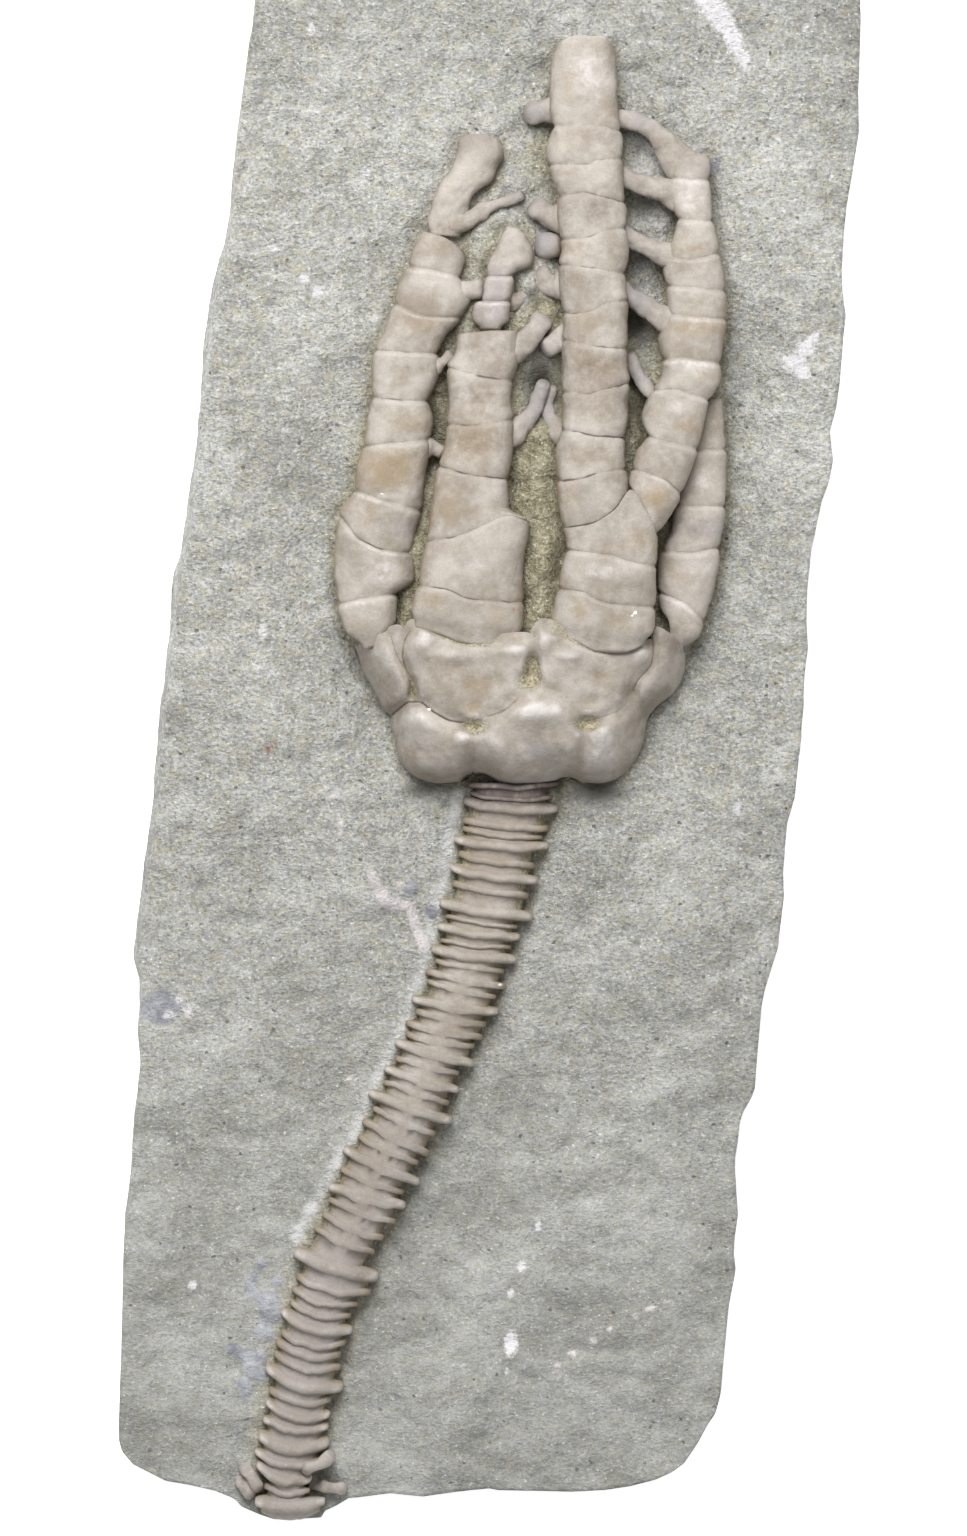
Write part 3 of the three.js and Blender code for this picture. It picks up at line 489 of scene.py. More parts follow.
def across_crown(xy):
    """How far across the crown a plan point lies: 0 on the middle line and 1 at the edge."""
    middle, half = (np.interp(xy[..., 1], CROWN_SPINE[:, 0], CROWN_SPINE[:, n]) for n in (1, 2))
    return np.abs(xy[..., 0] - middle) / half


# %% [markdown]
# The cup is seven plates that meet almost without a gap. If each plate were shaped alone, its edge would
# never fit its neighbour's, so one height function covers the whole cup: a dome that rounds down at the
# outer edge, with a swell for each worn knob, a valley along each joint and a pit at each corner where
# plates meet. Each plate is then cut from it with its own outline.

# %% The cup's surface
CUP_EDGE = [
    (-16.2, 13), (-15.3, 10.3), (-14, 8), (-12.6, 5.3), (-11.9, 4.7), (-11.5, 2.4), (-11.1, 0.2),
    (-10.1, -1.6), (-8.3, -2.8), (-6, -3.3), (-3.6, -3.1), (-2.4, -2.4), (-1.1, -2.2), (0.2, -2.7),
    (1.4, -3.4), (3.2, -3.7), (5.4, -3.6), (7.5, -3.1), (9.3, -2.6), (11.2, -3.2), (13, -3.3), (14.8, -2.9),
    (16.2, -2), (17.5, -0.4), (18.4, 1.7), (18.8, 3.9), (19.6, 5.4), (22.3, 7.9), (23.4, 10.4), (23.5, 12),
]
# Each joint: depth and width of its valley, depth of its crack, darkness, and its line.
CUP_JOINTS = [
    (0.5, 1.0, 0.12, 0.35, [(-2, 3), (-2.05, 1.9), (-1.9, 0.5), (-1.9, -1.2), (-2.2, -2.3)]),
    (0.45, 1.1, 0.06, 0.12, [(11.5, 2.6), (11.4, 1), (11, -0.6), (10.2, -1.8), (9.3, -2.5)]),
    (0.9, 1.1, 0.25, 1.0, [(-11.7, 5), (-9.6, 6.5), (-8.5, 6.5), (-6.8, 5.3), (-4.7, 4.2), (-3.4, 4)]),
    (0.7, 1.1, 0.16, 0.5, [(-0.4, 4.7), (1.5, 5.3), (3.3, 6.8)]),
    (0.5, 1.1, 0.05, 0.15, [(6.7, 7.7), (8.5, 6.8), (10.2, 5.6)]),
    (0.55, 1.0, 0.08, 0.25, [(13.7, 4.7), (15.3, 5.3), (16.5, 6.5), (16.8, 7.7)]),
    (0.9, 1.0, 0.22, 0.55, [(17.1, 7.7), (17.7, 9), (18.8, 10.2), (19.4, 11.1), (19.6, 12.6), (19.4, 14.5)]),
    (0.4, 1.0, 0.06, 0.1, [(17, 6.8), (18.6, 5.3), (19.1, 4.7)]),
    (0.4, 0.9, 0.12, 0.4, [(-9.4, 6.5), (-11.1, 5.6), (-11.9, 5)]),
    (0.9, 0.9, 0.25, 0.7, [(-9.3, 7.7), (-9.9, 9.9), (-10.5, 12), (-10.2, 13.9), (-9.6, 14.9)]),
    (0.35, 0.7, 0.12, 0.5, [(-11.9, 14.3), (-11.1, 12), (-9.4, 9.3)]),
    (0.6, 0.8, 0.15, 0.3, [(5.3, 11.2), (5.3, 14.3)]),
]
# The ledges under the arms' lower ends: how far they drop, and the line of the arm's edge.
ARM_SEATS = [
    (0.6, [(-9.9, 15.9), (-7, 14.9), (-5, 14.1), (-2.4, 13.4), (1, 13.3), (4.1, 13.8)]),
    (0.6, [(6.7, 15.1), (8.6, 14.5), (10.8, 13.5), (13, 12.7), (15.6, 12.5), (19.3, 13.2)]),
]
# Knobs and dents: x, y, radius across, radius along, height.
CUP_SWELLS = [
    (-8.5, 4.2, 2.5, 1.6, 0.8), (-7.6, 0.6, 2.2, 1.3, -0.35), (-3.4, 2.2, 1.1, 0.9, 0.35),
    (-8, -1.5, 3, 1.3, 0.4), (5.5, 5.4, 4, 1.7, 1.1), (5.6, 0.6, 2.6, 2, -0.8), (1.2, 0.6, 1.5, 2.5, 0.45),
    (9.3, 1.6, 1.4, 2, 0.5), (5, -2.4, 4, 1, 0.3), (13.2, 2.7, 1.6, 1.2, 0.5), (12.6, -1, 2, 1.5, 0.3),
    (15.3, 1.5, 1.5, 1.5, -0.15), (-8, 13.6, 1.6, 1.5, 0.9), (-4.5, 12, 3, 0.9, 0.5),
    (3, 12.6, 1.8, 1.1, 0.7), (-1.5, 8.5, 3, 2, -0.6), (-1.6, 6, 1.6, 1.2, -0.6),
    (6.6, 13.8, 1.5, 1.5, 0.9), (9.5, 12.2, 2, 1, 0.6), (18.3, 12, 1.5, 1.2, 0.5), (12.5, 9, 3, 2, -0.5),
    (12, 6.4, 1.6, 1, -0.5), (15.5, 8.5, 1.5, 1.5, 0.3), (-13.5, 12.3, 1.6, 1.6, 0.5),
    (-11.4, 8.5, 1.3, 1.5, -0.3), (21, 12, 1.5, 1.5, 0.4), (-5, 9.5, 1.6, 3, 0.25), (7.5, 10, 1.2, 2, 0.3),
]
# Pits that hold sediment: x, y, radius across, radius along, depth.
CUP_PITS = [
    (-1.8, 3.5, 1.6, 1.0, 1.0), (11.7, 3.9, 1.7, 0.95, 1.1), (-9.2, 7.9, 0.6, 1.3, 0.9),
    (4.8, 9.1, 1.5, 1.3, 1.3), (5.1, 10.9, 0.9, 1.4, 1.1), (-1.8, -2.6, 1.6, 0.5, 2.5),
]


def beyond(xy, line, low, high):
    """1 for points further up the slab than a line that crosses it, 0 for points below it or beside it."""
    over = xy[..., 1] - np.interp(xy[..., 0], line[:, 0], line[:, 1])
    beside = smoothstep(line[0, 0] - 0.7, line[0, 0] + 0.5, xy[..., 0])
    beside *= 1 - smoothstep(line[-1, 0] - 0.5, line[-1, 0] + 0.7, xy[..., 0])
    return smoothstep(low, high, over) * beside


CUP_EDGE = flowing(CUP_EDGE)
CUP_JOINTS = [(*sizes, flowing(line)) for *sizes, line in CUP_JOINTS]
ARM_SEATS = [(*sizes, flowing(line)) for *sizes, line in ARM_SEATS]
CUP_ROUNDING = 4.4  # how far in from its edge the cup reaches its full height
CRACK_WIDTH = 0.12  # of the sharp line at the bottom of a joint
CUP_UNEVENNESS = 0.11


def cup_height(xy):
    """Height of the cup above the slab's face: a dome times a quarter ellipse at the edge, plus the swells
    and some unevenness, less the valleys along the joints, the ledges under the arms and the pits."""
    across = np.minimum(0.93 * across_crown(xy), 0.97)
    foot = np.maximum(0, (6 - xy[..., 1]) / 10)
    dome = 1.03 * CUP_HEIGHT * np.sqrt(1 - across**2) * (1 - 0.25 * foot**2)
    inside = np.clip(away(xy, CUP_EDGE) / CUP_ROUNDING, 0, 1)
    height = dome * np.sqrt(1 - (1 - inside) ** 2) * (1 - 0.04 * bell(inside)) + spots(xy, CUP_SWELLS)
    for depth, width, crack, _, line in CUP_JOINTS:
        distance = away(xy, line)
        height -= depth * bell(distance / width) + 0.7 * crack * bell(distance / CRACK_WIDTH)
    for drop, line in ARM_SEATS:
        height -= drop * beyond(xy, line, -0.75, 0.45)
    for x, y, across, along, depth in CUP_PITS:
        height -= depth * bell(np.hypot((xy[..., 0] - x) / across, (xy[..., 1] - y) / along) ** 1.5)
    return height + CUP_UNEVENNESS * rough(xy, 2.6, 4, 5)


# %% [markdown]
# The colours follow the same shape. Rims are pale, as wear and as painted highlight, and hollows are tan,
# as stain and as painted shade, so the bend of the height function, worked out from four neighbours of each
# point, tells where each belongs.

# %% Marks on the cup
PALE_SPOTS = [
    (5.5, 5.3, 2.6, 1.1, 0.9), (-5.3, 12.6, 2.2, 0.5, 0.5), (9.4, 12, 1.4, 0.6, 0.5),
    (-7.7, 13.9, 0.9, 0.9, 0.35), (6.4, 14.2, 0.9, 1.0, 0.3), (3.3, 12.9, 1.2, 0.5, 0.4),
    (-3.2, 2.4, 0.8, 0.6, 0.6), (-8.6, 4.8, 1.6, 0.6, 0.4), (17.8, 12.6, 1.4, 0.4, 0.4),
    (7.6, 6.2, 1.2, 0.7, 0.5), (-11.2, 14.2, 0.5, 0.8, 0.4), (0.6, 1.8, 0.7, 1.8, 0.4),
    (13.4, 1.6, 2.6, 2, 0.6),
]
TAN_SPOTS = [
    (-1.8, 9, 2.6, 2.2, 0.45), (-2.3, 5.2, 1.6, 0.9, 0.6), (-9.6, 0.4, 1.6, 2.6, 0.4),
    (0.4, -1.8, 2, 1.2, 0.35), (10, -1.6, 1.6, 1.2, 0.5), (16, 0.4, 1.4, 1.6, 0.5),
    (13, 6.2, 1.8, 0.7, 0.4), (12.6, 9.4, 3, 1.6, 0.35), (-6, 11.4, 1.4, 0.8, 0.4),
    (5, -2.9, 3.5, 0.5, 0.3), (-12.6, 9.4, 1, 1.2, 0.3), (21.2, 8.8, 1.6, 1.6, 0.4),
]
GREY_SPOTS = [(5.8, 0.6, 2.2, 1.5, 0.75), (-7.2, 1.4, 1.8, 1.1, 0.35), (-11.4, 8.4, 1.2, 1.4, 0.4)]


def cup_marks(xy):
    """Attributes of the cup: pale on outward bends, tan on inward bends, gold in pits, dark along joints.
    The bend is (the sum of four neighbours - 4 * the point) / reach^2."""
    reach = 0.9
    steps = [(reach, 0), (-reach, 0), (0, reach), (0, -reach)]
    here = cup_height(xy)
    bend = (sum(cup_height(xy + step) for step in steps) - 4 * here) / reach**2
    seam = np.zeros(here.shape)
    for _, _, _, darkness, line in CUP_JOINTS:
        seam = np.maximum(seam, darkness * bell(away(xy, line) / 0.11))
    gold = spots(xy, [(x, y, rx * 1.05, ry * 1.05, 1.1) for x, y, rx, ry, _ in CUP_PITS])
    for _, line in ARM_SEATS:
        beside = bell((xy[..., 0] - line[6:-6, 0].mean()) / 5.5)
        gold = np.maximum(gold, 0.85 * beyond(xy, line, -0.55, -0.1) * beside)
    inner = smoothstep(0.4, 2.2, away(xy, CUP_EDGE))
    return {
        # Painted highlight on outward bends and painted shade on inward bends, beside the listed pale and tan
        # spots.
        "pale": np.clip(-0.5 * bend - 0.12, 0, 0.5) * inner + spots(xy, PALE_SPOTS),
        "tan": np.clip(0.35 * bend, 0, 0.45) * inner + spots(xy, TAN_SPOTS),
        "lilac": spots(xy, GREY_SPOTS),
        "gold": gold,
        "seam": seam,
        "white": spots(xy, [(-7.3, 5.6, 0.25, 0.15, 1), (16.9, 16.7, 0.5, 0.5, 1)]),
        "red": np.zeros(here.shape),
    }


# %% [markdown]
# Each plate is a fan of rings: one low in the slab, one on its outline, and many more that shrink to its
# middle on the shared surface. Where it meets a neighbour its outline is pushed out a little, so no light
# falls between them, and its height is a hair lower or higher than its neighbour's, so they never flicker.

# %% The cup's plates
CUP_PLATES = {
    "basal_left": [
        (-11.8, 4.8), (-11.5, 2.4), (-11.1, 0.2), (-10.1, -1.6), (-8.3, -2.8), (-6, -3.3), (-3.6, -3.1),
        (-2.2, -2.3), (-2, 0), (-2.1, 2.2), (-2.6, 3.5), (-3.7, 4), (-5.2, 4.6), (-6.8, 5.6), (-8, 6.8),
        (-9.5, 6.9), (-10.9, 6.1),
    ],
    "basal_centre": [
        (-1.9, 3.2), (-1.9, 1.8), (-1.8, 0), (-2, -2), (-1.1, -2.2), (0.2, -2.7), (1.4, -3.4), (3.2, -3.7),
        (5.4, -3.6), (7.5, -3.1), (9.3, -2.6), (10.6, -1), (11, 0.8), (11, 2.6), (10.3, 4.2), (9.9, 6.2),
        (8.4, 7.4), (6.6, 8.2), (4.8, 8.2), (3.2, 6.9), (1.5, 5.6), (-0.4, 4.5),
    ],
    "basal_right": [
        (11.1, 2.9), (11, 0.6), (10.3, -1.2), (9.5, -2.6), (11.2, -3.2), (13, -3.3), (14.8, -2.9), (16.2, -2),
        (17.5, -0.4), (18.4, 1.7), (18.8, 3.9), (19.6, 5.4), (18.4, 6.2), (16.8, 6.9), (15.6, 5.6),
        (14.2, 4.9), (12.6, 4.2), (11.6, 3.6),
    ],
    "radial_far_left": [
        (-16.2, 12.8), (-15.3, 10.3), (-14, 8), (-12.6, 5.3), (-11.8, 4.9), (-10.7, 6.1), (-9.3, 7),
        (-9.2, 8.9), (-9.9, 10.2), (-10.3, 12.2), (-10.1, 14.2), (-10.8, 15.4), (-12, 15.3), (-12.6, 14.6),
        (-14.4, 13.9),
    ],
    "radial_left": [
        (-10.3, 13.6), (-10.2, 11.8), (-9.5, 9.8), (-8.9, 8.2), (-7.9, 6.9), (-6.6, 5.6), (-5, 4.6),
        (-3.4, 4), (-1.4, 4.2), (0.2, 5), (1.6, 5.8), (3.1, 7.1), (3.9, 8.4), (4.6, 9.6), (5.2, 11.3),
        (5.3, 13), (4.6, 14.6), (1.9, 14.6), (0, 14.2), (-2, 14.2), (-4.4, 14.6), (-6.4, 15.6),
        (-8.4, 16.3), (-9.8, 15.8),
    ],
    "radial_right": [
        (5.2, 14.9), (5.1, 12.4), (5.3, 10.7), (6, 9.6), (6.2, 8.6), (7.2, 7.6), (8.8, 6.9), (10, 6.1),
        (10.6, 5.2), (11.6, 4.4), (12.8, 4.6), (14, 5), (15.4, 5.8), (16.8, 7.3), (17.7, 8.8), (18.8, 10),
        (19.7, 11.8), (19.7, 13.8), (17.4, 13.7), (15, 13.2), (12.9, 13.4), (11.1, 14.2), (9.9, 15.1),
        (8.3, 15.9), (6.4, 16.3),
    ],
    "radial_far_right": [
        (20, 15.2), (19.5, 13.2), (19.4, 11.5), (18.7, 10.1), (17.7, 8.9), (17, 7.2), (18.5, 6.2),
        (19.7, 5.5), (22.3, 7.9), (23.4, 10.4), (23.5, 11.9), (23, 13), (21.8, 14.2),
    ],
}


PLATE_SIDES = 168  # points round a plate
PLATE_OVERLAP = 0.3  # how far a plate's outline is pushed out where it meets a neighbour
# A plate's rings, as shares of the way out from its middle: close together at the rim, then evenly spread.
PLATE_SHARES = np.concatenate([1 - 0.09 * np.linspace(0, 1, 10) ** 1.3, np.linspace(0.895, 0.01, 44)])
PLATE_STEP = 0.015  # between the levels of neighbouring plates


def cup_plate(name, outline, level):
    """Rings r(s) = middle + s * (outline - middle), with s from 1 to almost 0, on the cup's surface, above
    one ring at the seat. Away from the cup's outer edge the outline grows by PLATE_OVERLAP, and by more at
    a pit."""
    loop = round_loop(outline, PLATE_SIDES)
    middle = loop.mean(axis=0)
    outward = loop - middle
    length = np.linalg.norm(outward, axis=1, keepdims=True)
    grow = PLATE_OVERLAP + sum(1.3 * bell(np.linalg.norm(loop - pit[:2], axis=1) / 1.3) for pit in CUP_PITS)
    loop = loop + outward / length * (grow * smoothstep(0.5, 1.6, away(loop, CUP_EDGE)))[:, None]
    xy = middle + PLATE_SHARES[:, None, None] * (loop - middle)
    top = np.maximum(cup_height(xy), -1.0) + level
    rings = lifted(xy[..., 0], xy[..., 1], top)
    seat = lifted(loop[:, 0], loop[:, 1], np.full(len(loop), SEAT))
    rings = np.concatenate([seat[None], rings])
    marks = {label: [np.concatenate([values[:1], values])] for label, values in cup_marks(xy).items()}
    return piece(name + "_surface", [rings], CALCITE, marks, [name])


for order, (name, outline) in enumerate(CUP_PLATES.items()):
    cup_plate(name, outline, PLATE_STEP * (order % 4))

# %% [markdown]
# An arm is a stack of ossicles. Rows of points run across it from its left to its right edge, and a curve
# that never overshoots joins them lengthwise, so each joint keeps the slant and bow it has on the stone.
# The cross-section is a superellipse, |x|^p + |z|^p = 1, which is boxier than a circle, over walls that
# lean in as they go down into the slab.

# %% Rows of the arms
ARM_SHARP = 2.6  # the p of the cross-section
ARM_SIDES = 64  # points over the top of the cross-section
ARM_ROUND = 0.46  # height above the widest line as a share of the width, at most ARM_RISE
ARM_STEP = 0.25  # between rings, away from the joints
# The wall under the right edge of the cross-section, as (across, up).
ARM_WALL = np.array([(0.995, -0.12), (0.96, -0.45), (0.93, -0.75), (0.9, -1)])
# Distances from a joint at which there are rings as well.
JOINT_RINGS = np.array([-0.6, -0.4, -0.26, -0.16, -0.08, 0, 0.08, 0.16, 0.26, 0.4, 0.6])
END_RINGS = 6  # rings that round off a free end
# What an arm has unless its own entry says otherwise: how far its foot rolls in, how deep a joint notches
# its sides, how high its lumps are, and how lilac it is all over.
ARM_DEFAULTS = {"roll": 0.1, "notch": 0.45, "lumps": 0.18, "lilac": 0}


def joint(*points, seam=(-1, 1, 0.3)):
    """A row where two ossicles meet. `seam` gives from where to where across it is dark, and how dark."""
    return {"points": points, "seam": seam}


def plain(*points):
    """A row inside an ossicle."""
    return {"points": points, "seam": None}


# "crest" is the height of the top at the foot, halfway and at the end, "swell" how far each ossicle bulges,
# "groove" how deep a joint is, and "pale" how strong the painted highlight on its upper rims is. "foot" and
# "end" say how far that end is rounded out, what share of its height it loses there, and how blunt it is.
# "rows" are drawn from left to right, and each of the "twigs" has its half-widths, its crests and its path,
# from where it starts to its tip.
ARMS = {
    "arm_right_trunk": {
        "crest": (10.2, 10.2, 9.9), "swell": 0.12, "groove": 0.14, "pale": 0.3,
        "roll": 0.9, "foot": (0.7, 0.2), "end": (0.3, 0.02),
        "rows": [
            plain((6.6, 15.2), (10, 14.2), (13, 12.9), (16.2, 12.8), (19.4, 13.5)),
            plain((7.4, 17.8), (19.7, 15.6)),
            joint((8, 20.1), (11, 19.7), (14, 18.4), (19.8, 17.8), seam=(-0.9, 0.5, 0.5)),
            plain((8.6, 22.5), (19.9, 20.4)),
            joint((9.2, 24.7), (14, 24.2), (17, 23.3), (20, 22.8), seam=(-0.9, 0.6, 0.28)),
            plain((8.9, 27.3), (12.5, 28), (15, 29.5), (16.9, 31.9), (18.4, 29.9), (20.3, 26.2)),
        ],
        "twigs": [],
    },
    "arm_right_left_fork": {
        "crest": (9.9, 8.9, 6), "swell": 0.07, "groove": 0.1, "pale": 0.2, "end": (0.6, 0.25),
        "rows": [
            joint((8.7, 27.4), (12.3, 28), (14.8, 29.5), (16.7, 31.7), seam=(-0.7, 0.8, 0.5)),
            joint((7.9, 33), (10.5, 33.2), (13.5, 34), (16.3, 34.4), seam=(-1, 0.1, 1.0)),
            plain((7.9, 36), (16.2, 36.4)),
            joint((8.5, 39), (10.5, 38.9), (13, 38.4), (16.2, 38.2), seam=(-0.5, 1, 0.9)),
            plain((8.8, 41.4), (16.6, 41.6)),
            joint((8.7, 43.6), (11.5, 43.5), (14, 44), (16.7, 44.7), seam=(-0.4, 0.9, 0.85)),
            plain((8.6, 46.2), (16.4, 46.6)),
            joint((8.7, 49.9), (12.5, 49.2), (16.4, 48.8), seam=(-0.1, 0.9, 0.5)),
            plain((8.8, 51.6), (16.6, 52)),
            joint((8.8, 53.1), (12, 53.4), (14, 54.3), (16.5, 54.6), seam=(-0.9, 0.1, 0.6)),
            plain((8.3, 56.3), (16.2, 56.2)),
            joint((8.3, 58.9), (12, 58.6), (16.2, 57.9), seam=(-0.3, 0.6, 0.6)),
            plain((8.6, 60.6), (16.6, 60.8)),
            joint((8.4, 61.9), (11.8, 62.3), (14, 63.1), (16.3, 63.3), seam=(-0.6, 0.0, 0.5)),
            plain((8, 65), (16.4, 65.2)),
            joint((8.1, 67), (11, 67.7), (13.5, 67.2), (16.2, 66.5), seam=(-0.7, 0.9, 0.6)),
            plain((7.5, 69.4), (16.1, 69.2)),
            joint((7.2, 70.9), (11.5, 71), (13, 71.5), (15.9, 71.7), seam=(-0.6, 0.6, 0.45)),
            plain((6.8, 72.6), (15.9, 73.4)),
            joint((7.4, 75.6), (12.5, 75.8), (15.7, 75), seam=(-0.2, 0.8, 0.4)),
            plain((7.2, 79.5), (15.3, 79.5)),
            plain((7.3, 82.8), (15.1, 82.8)),
            plain((7.9, 85.2), (10, 86.1), (13.4, 86.1), (14.9, 85)),
        ],
        "twigs": [
            ((2.2, 1.1), (6.2, 4.6), [(9.8, 50.2), (8.3, 49.8), (6.9, 49.1)]),
            ((2.2, 1.4), (6, 4.4), [(9.8, 56.6), (7.6, 56.6), (6.2, 57.4)]),
            ((1.1, 1.45), (4.6, 4.6), [(9.4, 61.2), (7.6, 61.3), (6.6, 61.4)]),
            ((2.3, 1.4), (5.8, 4.4), [(10, 64.3), (7.4, 64.6), (5.8, 65.6)]),
            ((2.1, 1.3), (4.2, 3), [(9.4, 77.8), (7, 77.5), (5.2, 77.2)]),
            ((1.5, 0.8), (5.6, 3.4), [(9.8, 37.6), (8, 39.2), (6.9, 41.6), (7.3, 44)]),
        ],
    },
    "arm_right_right_fork": {
        "crest": (9.4, 7, 4.4), "swell": 0.16, "groove": 0.09, "pale": 0.4, "end": (0.5, 0.2),
        "rows": [
            joint((16.6, 32.4), (18.5, 29.9), (20.3, 26.5), seam=(-1, 1, 0.6)),
            joint((17.1, 34.4), (20.6, 33.4), (22.9, 31.5), seam=(-0.6, 1, 0.6)),
            plain((17.5, 36.4), (24, 34.2)),
            joint((18.9, 38.4), (20.6, 37.9), (24.9, 36.9), seam=(-0.7, -0.2, 0.9)),
            plain((18.2, 40.6), (25.7, 40)),
            joint((19.4, 43.9), (22, 44), (26.3, 42.7), seam=(-0.8, 0.8, 0.3)),
            plain((20.5, 45.7), (27.4, 45)),
            joint((20.6, 47.5), (23, 47.8), (27.7, 47.2), seam=(0.4, 1, 0.5)),
            plain((20.3, 50), (28, 49.8)),
            joint((21.4, 53), (28.3, 52.4), seam=(-0.5, 0.8, 0.25)),
            joint((21, 56.4), (24, 56.2), (28.2, 55.8), seam=(-0.5, 0.8, 0.3)),
            plain((20.9, 58.2), (27.9, 58.4)),
            joint((21.2, 60.1), (24, 59.6), (27.5, 60.4), seam=(-0.5, 0.8, 0.25)),
            joint((22.6, 64.4), (26.8, 64.2), seam=(-0.5, 0.8, 0.25)),
            plain((21.6, 67), (26.6, 66.8)),
            joint((21.6, 69.4), (26.4, 69.2), seam=(-0.6, 0.8, 0.4)),
            plain((22.2, 71.4), (24.5, 71.9), (26.2, 71.9)),
        ],
        "twigs": [
            ((1.0, 0.7), (6, 4.6), [(22, 41.8), (19.6, 43.4), (17.9, 45.6), (16.9, 48)]),
            ((1.9, 1.2), (5.7, 5.1), [(24, 50.2), (21.4, 52.1), (18.8, 53.9), (16, 55.9)]),
            ((1.9, 1.0), (5.2, 4.9), [(24, 59.4), (21.2, 60.2), (18.6, 61.2), (15.9, 62.8)]),
            ((1.9, 1.2), (4.6, 4.6), [(24, 66.6), (21.2, 67.7), (18.6, 68.4), (15.9, 69.6)]),
            ((2.3, 1.1), (4, 3.8), [(24.4, 69), (22.4, 71.6), (20.6, 73.9), (18.4, 75.7), (15.6, 76.5)]),
        ],
    },
    "arm_left": {
        "crest": (10, 9.2, 7.4), "swell": 0.08, "groove": 0.11, "pale": 0.3,
        "roll": 0.9, "foot": (0.7, 0.2), "end": (0.4, 0.14),
        "rows": [
            plain((-9.9, 16), (-6, 14.9), (-3, 13.9), (0.5, 13.6), (3.9, 14)),
            plain((-9.3, 18.3), (4, 16)),
            joint((-8.6, 20.5), (-5.5, 20), (-2.3, 18.9), (4.1, 18.4), seam=(-0.7, 1, 0.8)),
            plain((-8.3, 23.3), (4, 22.3)),
            joint((-7.7, 25.8), (-4, 26.4), (-1, 27.6), (2.2, 28.8), (4.7, 28.2), seam=(-1, 0.1, 0.7)),
            plain((-7.1, 29.8), (2.2, 29.8)),
            joint((-6.2, 34.8), (-2, 33.7), (2.2, 33.2), seam=(-1, 0.9, 0.9)),
            plain((-5.5, 37.3), (2.8, 36.6)),
            joint((-5.3, 39.8), (-1.5, 39.7), (2.9, 40.4), seam=(-0.6, 0.0, 0.6)),
            plain((-5, 43), (2.5, 42.8)),
            joint((-5.2, 46.6), (-1, 45.6), (2.8, 45), seam=(-0.4, 0.6, 0.9)),
            plain((-4.3, 48.4), (3.5, 47.8)),
            plain((-3.9, 50.4), (0, 50.7), (3.6, 50.8)),
        ],
        "twigs": [
            ((1.7, 1.0), (6.4, 4.4), [(0.8, 38), (3.2, 39.2), (5.2, 41.4), (6.4, 44.4)]),
            ((2.0, 1.3), (6.6, 5.4), [(1.4, 48.2), (4.2, 49.8), (5.6, 51.4), (6.2, 52.2)]),
        ],
    },
    "arm_left_tip": {
        "crest": (6.4, 6.0, 5.2), "swell": 0.25, "groove": 0.2, "pale": 0.6,
        "foot": (0.5, 0.4, 3), "end": (0.4, 0.3), "lilac": 0.25, "notch": 0.2, "lumps": 0.3,
        "rows": [
            plain((-1.3, 51.5), (1.5, 51.4)),
            plain((-2.1, 52.5), (2.4, 52.5)),
            plain((-2, 53.7), (2.4, 53.7)),
            joint((-0.9, 54.6), (2.4, 54.6), seam=(-1, 1, 0.15)),
            plain((-0.6, 56), (2.7, 56)),
            joint((-0.6, 57.6), (2.8, 57.6), seam=(-1, 1, 0.1)),
            plain((-0.5, 58.8), (3.4, 58.4)),
            plain((0.2, 59.9), (4.9, 59.3)),
            plain((1.2, 61.2), (5, 60.6)),
            plain((1.6, 62.4), (4.4, 62)),
            plain((2, 63.3), (3.8, 63)),
        ],
        "twigs": [((1.3, 0.9), (4.6, 4.2), [(1.4, 54.2), (3.2, 54.6), (4.4, 55.4)])],
    },
    "arm_far_left": {
        "crest": (6.4, 6.8, 4.6), "swell": 0.2, "groove": 0.1, "pale": 0.5,
        "roll": 0.9, "foot": (0.5, 0.2), "end": (0.4, 0.2),
        "rows": [
            joint((-16.4, 13.1), (-14.3, 13.2), (-12.3, 14), seam=(-0.8, 1, 0.6)),
            plain((-17.6, 15.6), (-11.2, 16.6)),
            joint((-18.3, 18.2), (-14.5, 19), (-11.2, 19.4), seam=(-1, 0, 0.4)),
            plain((-18.6, 22.5), (-9, 21.2)),
            joint((-18.2, 28.8), (-15.5, 26), (-12.6, 24.7), (-9.4, 24.3), seam=(-0.8, 0.3, 0.85)),
            joint((-16.4, 31.9), (-8.3, 29.4), seam=(-0.7, 0.2, 0.5)),
            plain((-16, 34.6), (-7.8, 33.4)),
            joint((-15.2, 37.2), (-7.1, 38), seam=(-0.9, 0.3, 0.2)),
            plain((-14.6, 40.2), (-6.7, 40.3)),
            joint((-14.2, 43), (-7.2, 42.5), seam=(-0.8, 0.6, 0.7)),
            plain((-14.1, 46), (-6.2, 46)),
            joint((-13.9, 48.7), (-6.1, 48.3), seam=(-1, 1, 0.45)),
            plain((-12.7, 51), (-5, 50.8)),
            joint((-11.5, 54.3), (-7.5, 52.8), (-3.4, 52.5), seam=(-1, 0.6, 0.35)),
            plain((-10.8, 56.8), (-2.4, 55.2)),
            joint((-9.9, 58.8), (-6.5, 58.3), (-3.4, 57.4), seam=(-0.8, 0.8, 0.3)),
            plain((-9.1, 61), (-3, 59.6)),
            plain((-8.2, 62.8), (-5.6, 62), (-3.2, 60.5)),
        ],
        "twigs": [
            ((2.0, 0.7), (5.8, 4.4), [(-8.8, 36.9), (-7.2, 37.1), (-5.8, 36.4)]),
            ((2.0, 0.7), (5.8, 4.2), [(-7.8, 46.5), (-6, 47.1), (-4.8, 48)]),
            ((1.4, 1.0), (5, 4.2), [(-4.6, 55.6), (-2.6, 55.9), (-1.3, 56)]),
